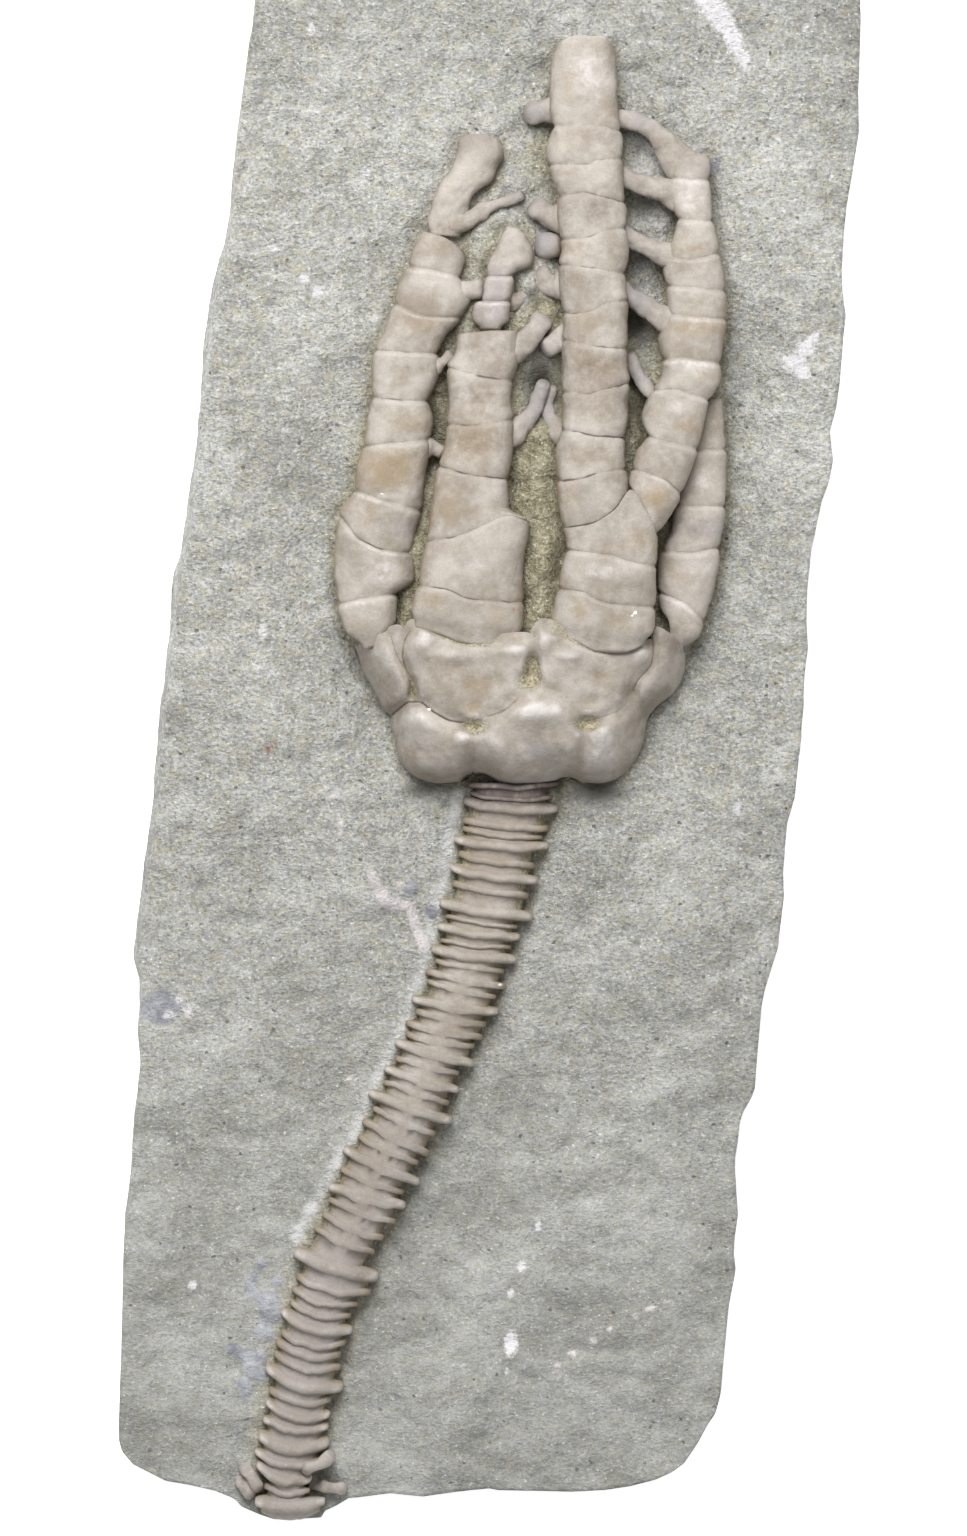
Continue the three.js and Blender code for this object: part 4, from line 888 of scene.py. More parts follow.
        ],
    },
    "arm_far_left_tip": {
        "crest": (3.6, 3.6, 3.0), "swell": 0.1, "groove": 0.2, "pale": 0.6,
        "foot": (0.3, 0.3, 4), "end": (0.15, 0.1, 4), "lilac": 0.15, "lumps": 0.34,
        "rows": [
            plain((-7.4, 62.7), (-3.4, 62.4)),
            plain((-7.7, 64.2), (-2.7, 63.9)),
            plain((-7, 66.2), (-2.4, 66)),
            plain((-5.9, 68.2), (-1.6, 67.4)),
            plain((-5, 69.9), (0.3, 69.2)),
            plain((-4.4, 71.2), (0.9, 70.6)),
            plain((-4.2, 72.4), (1.9, 72)),
            plain((-3.9, 73.9), (1.7, 73.1)),
            plain((-3.4, 74.5), (-1.2, 74.6), (1.4, 73.8)),
        ],
        "twigs": [((1.6, 0.6), (3.9, 2.8), [(-6.4, 63.6), (-3.4, 64.1), (-0.4, 65.6), (3.8, 67.3)])],
    },
    "arm_far_right": {
        "crest": (4.6, 4.7, 3), "swell": 0.18, "groove": 0.1, "pale": 0.4,
        "roll": 0.9, "foot": (0.4, 0.2), "end": (0.4, 0.2),
        "rows": [
            plain((20.6, 16), (22, 13.8), (23.4, 12.2)),
            plain((20.3, 17.8), (25, 14.2)),
            joint((20.2, 19.6), (22.3, 18.9), (24.2, 17.8), (25.8, 16.2), seam=(-1, 1, 0.5)),
            plain((20.2, 22.2), (27, 20)),
            joint((20.6, 24.6), (24, 24.4), (27.6, 25), seam=(-0.5, 1, 0.4)),
            plain((21.8, 27.4), (28, 27.6)),
            joint((22.1, 30.1), (28.2, 29.9), seam=(-0.5, 0.8, 0.25)),
            plain((22.6, 33.2), (28.3, 33)),
            joint((23.8, 36.7), (28.2, 36.8), seam=(-0.5, 0.8, 0.25)),
            plain((24.8, 39.8), (28.1, 39.8)),
            plain((25.9, 42.4), (27.9, 42.6)),
        ],
        "twigs": [],
    },
}
print("rows in the arms:", sum(len(arm["rows"]) for arm in ARMS.values()))

# %% [markdown]
# The stain and wear of the arms are laid out once, as spots in plan, and read by every arm's points. Each
# row is x, y, radius across, radius along and strength.

# %% Marks on the arms
ARM_TAN = [
    (-12, 34.5, 3.6, 2.6, 1.0), (-14.5, 28.5, 1.4, 2.4, 0.5), (-10, 40, 3, 1.4, 0.6),
    (-6.4, 18.6, 2, 1.4, 0.7), (1.2, 16.4, 1.6, 1.2, 0.5), (10.5, 17.2, 1.6, 1.6, 0.7),
    (15.5, 15.5, 2.2, 1.2, 0.4), (18, 25.8, 2, 1.8, 0.7), (19.8, 30.8, 1.8, 1.8, 1.0),
    (23.5, 39.2, 2.4, 0.9, 0.7), (25.5, 45.4, 2.2, 0.9, 0.6), (25, 51.2, 3.4, 1.4, 0.9),
    (12, 41, 3, 1.6, 0.3), (12.5, 46.8, 4, 2, 0.6), (11, 60.4, 2.4, 1.2, 0.5), (23.2, 21.5, 2, 1, 0.6),
    (-5, 29.6, 2, 2.6, 0.6), (-0.5, 43, 3.4, 2, 0.6), (-1.6, 37.4, 3.4, 3, 0.8), (26.4, 33, 1.5, 1.2, 0.6),
    (12, 36, 3.4, 1.8, 0.5), (9.4, 31, 1.4, 3, 0.6), (25, 26.5, 2, 1.4, 0.6), (-8, 51.4, 3, 1, 0.5),
    (-16, 16, 1.4, 1.4, 0.5), (-9.5, 46, 2.6, 1.2, 0.5), (24, 60.6, 3, 1, 0.6), (-0.4, 48.6, 3, 1.4, 0.4),
    (12, 52, 3.4, 1, 0.4), (9.4, 80, 1, 3, 0.6), (-6.6, 60.6, 2, 1, 0.5),
]
ARM_LILAC = [
    (-10.5, 27, 2, 2, 0.5), (-10, 30.4, 2.6, 0.6, 0.4), (-3, 73, 3, 2, 0.3), (25.5, 27.2, 3.2, 1.8, 0.6),
    (12, 29.5, 2, 1.3, 0.3), (24.5, 71, 1.5, 1.5, 0.5), (-16.8, 24, 1, 5, 0.3), (11.3, 31.4, 2.4, 1, 0.3),
    (0.4, 53, 2, 2, 0.5), (0.9, 57, 1.6, 2, 0.4), (10.4, 76.6, 3, 1, 0.25), (12, 65.6, 4, 3.6, 0.2),
    (12.4, 35.8, 4.5, 2.4, 0.2), (-0.8, 43.4, 4, 2.4, 0.2), (-0.4, 48.4, 4, 2, 0.2),
    (14.4, 26.4, 5, 1.6, 0.2),
]
ARM_SHADE = [
    (12.4, 36, 4.5, 2, 0.26), (12.5, 46.6, 4.5, 2.6, 0.38), (12.5, 65.2, 4.5, 3, 0.36),
    (8.8, 52, 1, 12, 0.25), (-1.6, 37.6, 4, 2.6, 0.4), (-1, 43.4, 4, 2.2, 0.4), (-0.4, 48.6, 4, 1.6, 0.32),
    (-10, 46.4, 4, 1.6, 0.34), (14, 28.6, 5, 1.6, 0.26), (21.8, 35.8, 2.4, 1.2, 0.32),
    (25, 27.2, 3, 1.8, 0.32),
]
ARM_PALE = [
    (-12.5, 31.0, 3.2, 0.5, 0.6), (-12, 21.6, 2, 1.6, 0.6), (-8, 45, 1.8, 0.9, 0.4),
    (1.5, 43.6, 1.6, 0.6, 0.5), (11.6, 81.5, 3.2, 4.6, 0.8), (22.5, 41.6, 2.2, 1.1, 0.7),
    (19.8, 32.2, 1, 1.4, 0.4), (13.5, 22, 4.6, 1.4, 0.7), (1, 31.6, 1.6, 2, 0.5),
    (15.4, 39.8, 1.0, 0.5, 0.5), (24.4, 46.4, 3, 1, 0.5), (24.8, 22.4, 2.4, 1.6, 0.7),
    (-2.4, 22.8, 5, 1.8, 0.5), (-15, 17, 2.6, 1.6, 0.6), (-14, 22.5, 3, 2, 0.5), (24, 66.8, 2.4, 3, 0.8),
    (-7.4, 56.4, 3.2, 1.8, 0.5), (22.6, 18, 2.4, 1.4, 0.6), (25.6, 33, 2.4, 2.2, 0.7),
    (0.4, 52.8, 1.4, 1.4, 0.5), (24, 45.6, 3, 1.4, 0.4), (24.4, 51, 3.4, 1.6, 0.4), (-2, 16.4, 5, 1.6, 0.4),
    (-3, 71, 3.4, 3, 0.4),
]
TWIG_GREY = [
    (6.3, 61.6, 1.6, 1.4, 0.9), (17.8, 54.6, 2.4, 1.8, 0.5), (6, 41.5, 2, 3, 0.6), (18.6, 76, 1.6, 1, 0.4),
    (18, 45.6, 1.5, 2, 0.6), (5.4, 77.2, 1.4, 1.4, 0.5), (4, 66.6, 2, 1, 0.3),
]
ARM_WHITE = [(17.3, 17.1, 0.3, 0.25, 0.75), (16.9, 16.7, 0.3, 0.2, 0.6), (-12.9, 31.3, 0.5, 0.12, 0.6)]
ARM_RED = [(2.8, 17.5, 0.15, 0.3, 1.0), (0.3, 60.6, 0.35, 0.25, 1.2), (27.2, 24.9, 0.7, 0.15, 0.8)]


def arm_section(count):
    """Places round an arm as (across, up): a superellipse over the top, then walls that lean in to the seat.
    An `up` of -1 is the seat."""
    angle = np.linspace(np.pi, 0, count)
    cosine, sine = np.cos(angle), np.sin(angle)
    across = np.sign(cosine) * np.abs(cosine) ** (2 / ARM_SHARP)
    up = np.abs(sine) ** (2 / ARM_SHARP)
    right = ARM_WALL[:, 0], ARM_WALL[:, 1]
    left = -ARM_WALL[::-1, 0], ARM_WALL[::-1, 1]
    return np.concatenate([left[0], across, right[0]]), np.concatenate([left[1], up, right[1]])


def arm_rings(arm):
    """The surface of one arm. Its place across is read from each row, and its place along from the distance
    between the rows' middles. Its relief is swell * (0.3 + 0.9t) * (1 - (2t - 1)^6) over each ossicle, with
    t from 0 to 1 along it, and the lumps, less a groove and a notch at each joint and the roll at the foot.
    """
    rows = arm["rows"]
    across, up = arm_section(ARM_SIDES)
    lines = np.stack([
        through(np.arange(len(row["points"])), row["points"], (across + 1) / 2 * (len(row["points"]) - 1))
        for row in rows
    ])
    above = slice(len(ARM_WALL), -len(ARM_WALL))
    middles = lines[:, above].mean(axis=1)
    place = np.concatenate([[0], np.cumsum(np.linalg.norm(np.diff(middles, axis=0), axis=1))])
    joints = np.array([place[k] for k, row in enumerate(rows) if row["seam"]])
    seams = [row["seam"] for row in rows if row["seam"]]
    beside = (joints[:, None] + JOINT_RINGS).ravel()
    along = np.concatenate([np.arange(0, place[-1], ARM_STEP), [place[-1]], beside])
    along = np.unique(np.round(along[(along >= 0) & (along <= place[-1])], 2))
    xy = through(place, lines, along)
    share = along / place[-1]
    crest = through([0, 0.5, 1], arm["crest"], share)
    width = np.linalg.norm(xy[:, above][:, -1] - xy[:, above][:, 0], axis=1)
    rise = np.minimum(ARM_RISE, ARM_ROUND * width)
    over = np.maximum(up, 0)[None]
    under = np.minimum(up, 0)[None]
    base = (crest - rise)[:, None]
    height = base + over * rise[:, None] + under * (base - SEAT)
    rings = lifted(xy[..., 0], xy[..., 1], height)
    flat = np.stack([xy[..., 0], xy[..., 1], height * 0.5], axis=-1)

    edges = np.unique(np.concatenate([[0], joints, [place[-1]]]))
    k = np.clip(np.searchsorted(edges, along, side="right") - 1, 0, len(edges) - 2)
    t = (along - edges[k]) / (edges[k + 1] - edges[k])
    bulge = arm["swell"] * (0.3 + 0.9 * t) * (1 - (2 * t - 1) ** 6)
    relief = np.repeat(bulge[:, None], len(across), axis=1)
    seam = np.zeros(relief.shape)
    pale = np.zeros(relief.shape)
    wobble = 0.10 * noise(flat, 1.6, 3) + 0.05 * noise(flat, 0.7, 4)
    for at, (start, end, darkness) in zip(joints, seams):
        gap = along[:, None] - at + wobble
        broken = np.clip(0.75 + 0.9 * noise(flat, 1.3, 15), 0.1, 1.2)
        dark = smoothstep(start - 0.2, start + 0.15, across)
        dark *= 1 - smoothstep(end - 0.15, end + 0.2, across)
        relief -= arm["groove"] * (0.3 + 0.7 * dark) * (0.6 * bell(gap / 0.11) + 0.5 * bell(gap / 0.4))
        relief -= arm["notch"] * (1 - over) * bell(gap / 0.35)
        seam = np.maximum(seam, darkness * dark * broken * bell(gap / (0.06 + 0.05 * darkness)))
        # Painted highlight: a pale band on the upper rim of each ossicle, just below the joint, where the
        # light from above catches it.
        pale += arm["pale"] * bell((gap + 0.42) / 0.3)
    relief = relief * (0.4 + 0.6 * over) + arm["lumps"] * rough(flat, 3.2, 4, 21)
    relief -= arm["roll"] * bell(along[:, None] / 1.3)
    relief *= np.where(up < -0.5, 0, 1)
    rings = rings + grid_normals(rings) * relief[..., None]
    marks = {"seam": seam, "pale": pale * (0.4 + 0.6 * over)}
    return rings, marks, np.repeat(up[None], len(along), axis=0)


def round_end(rings, reach, drop, blunt=2):
    """END_RINGS more rings that close an end, with a from 0 to a quarter turn: each is shrunk by
    0.93 * (1 - cos(a))^blunt, moved out by reach * sin(a), and loses drop * (1 - cos(a)) of its height."""
    last, before = rings[-1], rings[-3]
    middle = last.mean(axis=0)
    out = (middle - before.mean(axis=0)) * [1, 1, 0]
    out /= np.linalg.norm(out)
    low = last[:, 2].min()
    ends = []
    for angle in np.linspace(0, np.pi / 2, END_RINGS + 1)[1:]:
        shrink = 1 - 0.93 * (1 - np.cos(angle)) ** blunt
        ring = middle + (last - middle) * [shrink, shrink, 1]
        ring[:, 2] = low + (last[:, 2] - low) * (1 - drop * (1 - np.cos(angle)))
        ends.append(ring + out * reach * np.sin(angle))
    return np.concatenate([rings, np.stack(ends)])


def lengthened(values):
    """Marks for the rings that round_end added: the last ring's, repeated."""
    return np.concatenate([values, np.repeat(values[-1:], END_RINGS, axis=0)])


TWIG_SIDES = 22  # points round a small branch
TWIG_STEP = 0.2  # between its rings
TWIG_FLATNESS = 0.8  # its height as a share of its width
TWIG_ROOT = 1.6  # how far its start dips, so that it grows out of the arm
TWIG_LUMPS = 0.22


def tube_rings(path, half, crest):
    """A small branch: a round section carried along a smooth path, narrowing from the first half-width to
    the second and sinking from the first crest to the second, closed by a rounded tip, with its lower edges
    in the slab."""
    path = np.asarray(path, float)
    steps = np.concatenate([[0], np.cumsum(np.linalg.norm(np.diff(path, axis=0), axis=1))])
    along = np.arange(0, steps[-1] + 0.01, TWIG_STEP)
    xy = through(steps, path, along)
    run = np.gradient(xy, axis=0)
    run /= np.linalg.norm(run, axis=1, keepdims=True)
    side = np.stack([run[:, 1], -run[:, 0]], axis=1)
    share = along / steps[-1]
    taper = smoothstep(0, 0.8, share)
    radius = half[0] + (half[1] - half[0]) * taper + 0.16 * noise(xy, 1.3, 9)
    angle = np.linspace(1.25 * np.pi, -0.25 * np.pi, TWIG_SIDES)
    across, up = np.cos(angle), np.sin(angle)
    plan = xy[:, None] + side[:, None] * (across * radius[:, None])[..., None]
    top = crest[0] + (crest[1] - crest[0]) * taper - TWIG_ROOT * smoothstep(1.6, 0.2, along)
    height = top[:, None] - TWIG_FLATNESS * radius[:, None] * (1 - up)
    height[:, [0, -1]] = SEAT
    rings = lifted(plan[..., 0], plan[..., 1], height)
    lumps = TWIG_LUMPS * rough(rings, 1.5, 3, 35) * (up > -0.5)
    return round_end(rings + grid_normals(rings) * lumps[..., None], half[1], 0.6, 1.1)


def arm(name, shape):
    """One arm with its side branches, as one object."""
    rings, marks, up = arm_rings(shape)
    for key, turn in (("end", 1), ("foot", -1)):
        if key in shape:
            rings = round_end(rings[::turn], *shape[key])[::turn]
            marks = {label: lengthened(values[::turn])[::turn] for label, values in marks.items()}
            up = lengthened(up[::turn])[::turn]
    twigs = [tube_rings(path, half, crest) for half, crest, path in shape["twigs"]]
    shells = [rings] + twigs
    marks = {label: [values] + [0 * twig[..., 0] for twig in twigs] for label, values in marks.items()}
    for label, table in (("tan", ARM_TAN), ("white", ARM_WHITE), ("red", ARM_RED)):
        marks[label] = [spots(shell[..., :2], table) for shell in shells]
    # Tan along the arm's sides: partly stain, partly painted shade where the rounded sides turn away from the
    # light.
    marks["tan"][0] = marks["tan"][0] + 0.65 * bell((up - 0.25) / 0.3)
    marks["seam"][0] = marks["seam"][0] + spots(rings[..., :2], ARM_SHADE)
    rims = marks["pale"]
    marks["pale"] = [values + spots(shell[..., :2], ARM_PALE) for values, shell in zip(rims, shells)]
    low = np.clip(0.55 - up, 0, 1.2)
    marks["lilac"] = [np.clip(0.55 * low + shape["lilac"] + spots(rings[..., :2], ARM_LILAC), 0, 1.2)]
    marks["gold"] = [0.75 * smoothstep(0.1, -0.8, up)]
    for twig in twigs:
        far = np.linspace(0, 1, len(twig))[:, None]
        marks["lilac"].append(0.1 + 0.4 * far + spots(twig[..., :2], TWIG_GREY))
        marks["gold"].append(0.5 * smoothstep(SLAB_TOP + 3.4, SLAB_TOP + 2.2, twig[..., 2]))
    return piece(name + "_surface", shells, CALCITE, marks, [name])


for name, shape in ARMS.items():
    arm(name, {**ARM_DEFAULTS, **shape})

# %% [markdown]
# The stem is a pile of discs seen from the side: broad ones with rounded rims, and thinner, narrower ones
# between them. Each disc is given by its left end, its right end and its thickness, and sags a little in the
# middle. A few rings carried over each disc, from groove to rim to groove, make the whole pile one surface.

# %% Discs of the stem
# Left end x, y, right end x, y, how far the middle leans to the foot, thickness.
STEM_DISCS = np.array([
    (-2.6, -3.4, 8.3, -3.3, 0.4, 0.7), (-2.3, -4.6, 7.4, -4.8, 0.6, 0.6), (-3, -5.3, 8, -6.3, 0.7, 1.3),
    (-3.1, -7.6, 6.9, -8.7, 0.4, 0.9), (-3.2, -8.8, 6.2, -9.8, 0.4, 0.7), (-4.1, -10, 6.9, -10.9, 0.5, 1.2),
    (-3.7, -11.8, 5.3, -13, 0.4, 0.9), (-4.6, -13.4, 5.6, -15, 0.4, 1.2),
    (-4.4, -15.4, 4.5, -16.8, 0.3, 0.9), (-5.8, -17.6, 4.9, -19.2, 0.4, 1.4),
    (-5.2, -19.2, 3.2, -20.5, 0.3, 0.6), (-6.1, -20.5, 3.4, -21.7, 0.3, 1.1),
    (-5.8, -22, 2.4, -23, 0.3, 0.6), (-6.8, -23.2, 3, -24.4, 0.3, 1.3), (-6.5, -24.6, 1.6, -25.8, 0.3, 0.7),
    (-7.6, -25.9, 1.8, -27.6, 0.3, 0.9), (-7.5, -27.2, 0.6, -28.9, 0.3, 0.7),
    (-9.2, -29.1, 0.8, -30.6, 0.4, 1.1), (-8.8, -30.6, -0.6, -32.2, 0.3, 0.9),
    (-10, -32, -1, -33.8, 0.3, 0.9), (-10, -33.4, -2, -34.8, 0.3, 0.8),
    (-11.2, -34.4, -2.2, -36.8, 0.3, 1.2), (-11.2, -36.2, -3.8, -38, 0.3, 0.8),
    (-12.5, -37.4, -4, -40.2, 0.3, 1.1), (-12.6, -39, -5, -41.6, 0.3, 0.8),
    (-14.3, -40.3, -4.8, -43.8, 0.3, 1.3), (-14, -42.4, -6.7, -45.4, 0.3, 0.8),
    (-15.2, -43.8, -7.4, -47.6, 0.3, 1), (-15.7, -45.6, -8.7, -48.8, 0.3, 0.8),
    (-17.4, -47.2, -8.7, -51.2, 0.3, 1.2), (-17.9, -49.6, -10.4, -52.2, 0.4, 0.8),
    (-19.1, -51.6, -10.4, -54, 0.4, 1.3), (-19.3, -53.4, -11.4, -55.8, 0.4, 0.8),
    (-20, -55, -12.9, -57.8, 0.5, 0.9), (-20.9, -56.6, -14, -59.6, 0.5, 0.8),
    (-23.3, -59.6, -13.6, -62.4, 0.7, 1.7), (-23.1, -62.4, -14.4, -64.3, 1, 1),
    (-23.7, -63.9, -15.9, -65.7, 1.1, 0.8), (-23.9, -65.5, -16.8, -67.1, 1, 0.8),
    (-24.9, -66.8, -16.7, -68.8, 1.2, 1.3), (-25, -69.2, -17.4, -70.4, 1.1, 0.9),
    (-25.6, -70.2, -18, -71.8, 1.2, 1), (-25.8, -71.6, -18, -73.4, 1.2, 0.9),
    (-26.7, -73.3, -17.8, -75.6, 1.5, 1.5), (-26.4, -76, -19.2, -77.2, 1.1, 1),
    (-26.7, -77.6, -19.4, -78.9, 1.5, 1.1), (-27, -79.5, -19.6, -80.4, 1.2, 1.1),
    (-27.6, -81.6, -19.5, -82.2, 1.6, 1.6), (-28, -83.5, -20.3, -84.6, 1.2, 1.1),
    (-27.8, -85.1, -21.6, -86.6, 1.2, 1.3), (-27, -87.5, -21.7, -88.2, 0.8, 0.9),
    (-28, -89.4, -20, -89.2, 0.9, 1.6),
], float)
NODAL = STEM_DISCS[:, 5] >= 1.05  # the broad discs
STEM_CREST = (4.1, 4.6, 3.6)  # height of the stem's top under the cup, halfway and at its foot
STEM_SIDES = 64  # points over the top of a disc's cross-section
STEM_RISE = 0.86  # height of a disc's top above its widest line, as a share of half its length
STEM_ROUND = 0.93  # power of the cosine and sine of its cross-section: below 1 is boxier than a circle
STEM_FLUTTER = 0.16  # how far a disc's middle line strays
STEM_GRAIN = 0.07  # unevenness of its top
GROOVE_CUT = 0.5  # how far a groove cuts in at the discs' ends
# For each disc: depth of the groove beside it, how far its rim swells near its ends, and how far its top
# stands above the stem's.
STEM_GROOVES = np.where(NODAL, 0.5, 0.36)
STEM_KNOBS = np.where(NODAL, 0.25, 0.1)
STEM_LIFTS = np.where(NODAL, 0.18, -0.2)
# Where a disc has rings, from one side of its thickness to the other.
DISC_PROFILE = np.array([-1.0, -0.98, -0.9, -0.7, -0.35, 0, 0.35, 0.7, 0.9, 0.98, 1.0])
print("discs in the stem:", len(STEM_DISCS), "of them broad:", int(NODAL.sum()))


def kept_room(line, down, thick):
    """How much of its half-thickness each disc keeps on its upper and its lower side, so that neighbours
    don't cross: (distance between their middle lines - 0.1) / (mean of their thicknesses), at most 1."""
    gap = ((line[1:] - line[:-1]) * down[:-1, None]).sum(axis=2)
    room = np.clip((gap - 0.1) / ((thick[1:] + thick[:-1]) / 2)[:, None], 0.1, 1)
    whole = np.ones((1, line.shape[1]))
    return np.concatenate([whole, room]), np.concatenate([room, whole])


def end_depths(ends, side):
    """How far the groove on each side of each disc cuts in behind the disc's left and right ends: back to
    the neighbour's end where that lies further in, and GROOVE_CUT beyond it."""
    step = ((ends[1:] - ends[:-1]) * side[:-1, None]).sum(axis=2) * [1, -1]
    none = np.zeros((1, 2))
    above = np.concatenate([none, np.maximum(-step, 0)])
    below = np.concatenate([np.maximum(step, 0), none])
    return GROOVE_CUT + above, GROOVE_CUT + below


def stem_rings():
    """Rings over every disc. Over its thickness, q from -1 to 1, the rim is drawn in by D * |q|^3 on top,
    where D is less in the worn band, and by C * (1 - sqrt(1 - q^8)) at its ends, which leaves them standing
    out."""
    angle = np.linspace(np.pi, 0, STEM_SIDES)
    across = np.sign(np.cos(angle)) * np.abs(np.cos(angle)) ** STEM_ROUND
    up = np.abs(np.sin(angle)) ** STEM_ROUND
    across = np.concatenate([[-0.97, -1.0], across, [1.0, 0.97]])
    up = np.concatenate([[-1, -0.45], up, [-0.45, -1]])
    ends = STEM_DISCS[:, :4].reshape(-1, 2, 2)
    middle = ends.mean(axis=1)
    half_length = np.linalg.norm(ends[:, 1] - ends[:, 0], axis=1) / 2
    side = (ends[:, 1] - ends[:, 0]) / (2 * half_length[:, None])
    down = np.stack([side[:, 1], -side[:, 0]], axis=1)
    order = np.arange(len(STEM_DISCS))[:, None]
    spot = np.stack([across * 2.6 + 0 * order, 0 * across + order * 3.1], axis=-1)
    sag = STEM_DISCS[:, 4, None] * (1 - across**2) + STEM_FLUTTER * rough(spot, 1.0, 2, 8)
    straight = middle[:, None] + (across * half_length[:, None])[..., None] * side[:, None]
    line = straight + sag[..., None] * down[:, None]
    room = kept_room(line, down, STEM_DISCS[:, 5])
    cuts = end_depths(ends, side)
    crests = through([0, 0.5, 1], STEM_CREST, np.linspace(0, 1, len(STEM_DISCS))) + STEM_LIFTS
    rings, grooves, rims = [], [], []
    for k, thick in enumerate(STEM_DISCS[:, 5]):
        left, right = ends[k]
        worn = smoothstep(-23, -26, left[1]) * (1 - smoothstep(-57, -61, left[1]))
        worn *= 0.85 + 0.4 * noise(right / 5, 1.0, 6)
        off = np.abs(across - 0.12 - 0.2 * noise(left / 4, 1.0, 7))
        keep = 1 - np.clip(worn * smoothstep(1.0, 0.3, off), 0, 0.9)
        knob = bell((np.abs(across) - 0.93) / 0.12) * STEM_KNOBS[k]
        rise = STEM_RISE * half_length[k]
        for q in DISC_PROFILE:
            lower = int(q > 0)
            recess = 1 - np.sqrt(np.maximum(0, 1 - np.abs(q) ** 8))
            cut = np.where(across < 0, cuts[lower][k, 0], cuts[lower][k, 1])
            half = half_length[k] - cut * recess + 0.05 + knob * (1 - q**4)
            inward = STEM_GROOVES[k] * np.abs(q) ** 3 * keep - knob * (1 - q**4)
            shift = sag[k] + thick / 2 * q * room[lower][k]
            plan = middle[k] + (across * half)[:, None] * side[k] + shift[:, None] * down[k]
            base = crests[k] - rise
            top = base + np.maximum(up, 0) * (rise - inward) + np.minimum(up, 0) * (base - SEAT)
            rings.append(lifted(plan[:, 0], plan[:, 1], top))
            grooves.append(np.abs(q) ** 3 * keep)
            rims.append(0 * across + NODAL[k] * (1 - abs(q)))
    rings = np.stack(rings)
    rings[..., 2] += STEM_GRAIN * rough(rings * 0.9, 1.5, 2, 31) * np.maximum(up, 0)
    return rings, np.stack(grooves), np.stack(rims), up


def stem():
    """The stem as one object: its rings, rounded off at the foot. Its grooves are dark and hold sediment,
    the rims of broad discs are pale, as wear and as painted highlight, the discs under the cup carry a
    painted shadow, and a lilac cast grows towards the foot."""
    rings, groove, rim, up = stem_rings()
    rings = round_end(rings, 1.1, 0.75)
    groove, rim = lengthened(groove), lengthened(rim)
    xy = rings[..., :2]
    low = smoothstep(0.4, -0.3, up)[None] + 0 * groove
    ends = smoothstep(0.8, 0.45, up)[None] + 0 * groove
    high = smoothstep(-34, -8, xy[..., 1])
    marks = {
        # Painted shadow: the discs next to the cup's lower edge are darkened where the cup shades them.
        "seam": [0.15 * groove + 0.65 * smoothstep(-9, -4, xy[..., 1])],
        # Pale crests of the broad discs: wear and painted highlight.
        "pale": [(0.35 + 0.5 * ends) * rim + 0.25 * ends * (1 - groove)],
        "tan": [0.38 + 0.4 * ends + 0.25 * groove],
        "lilac": [0.3 + 0.2 * smoothstep(-22, -60, xy[..., 1]) - 0.3 * ends + 0.2 * groove],
        "gold": [groove * (0.5 + 0.3 * high) * (0.4 + 0.8 * ends) + 0.45 * low],
        "white": [spots(xy, [(1.2, -27.4, 0.4, 0.25, 0.7)])],
        "red": [0 * groove],
    }
    return piece("stem_surface", [rings], CALCITE, marks, ["stem"])


stem()

# %% [markdown]
# Four chips of broken disc lie against the stem's foot. They are short rods of the same kind of stone, so
# the function that makes the arms' side branches makes them too.

# %% Chips at the foot
STEM_CHIPS = {
    "stem_chip_left_upper": ((0.85, 0.8), (2.4, 2.4), [(-29.7, -85), (-27.9, -87.7)]),
    "stem_chip_left_lower": ((0.8, 0.8), (1.8, 1.8), [(-30.3, -86.3), (-28.8, -88.5)]),
    "stem_chip_right_upper": ((0.9, 0.75), (4.2, 4.2), [(-23.2, -85.6), (-21, -85.2), (-19.3, -84)]),
    "stem_chip_right_lower": ((0.9, 0.8), (1.9, 1.8), [(-21.6, -87.1), (-19.8, -87.7), (-17.8, -88)]),
}
for name, (half, crest, path) in STEM_CHIPS.items():
    rings = tube_rings(path, half, crest)
    level = {"tan": 0.4, "lilac": 0.45, "pale": 0.4, "gold": 0, "seam": 0, "white": 0, "red": 0}
    marks = {label: [np.full(rings.shape[:2], float(value))] for label, value in level.items()}
    piece(name + "_surface", [rings], CALCITE, marks, [name])

# %% [markdown]
# The slab's face is one grid stretched over its broken outline: four curves bound it, and each grid point is
# the blend of its places on them, less the blend of the corners (a Coons patch). The face carries the
# mound of stone inside the crown, the moat that the needle left round the fossil, and the stone's own grain.

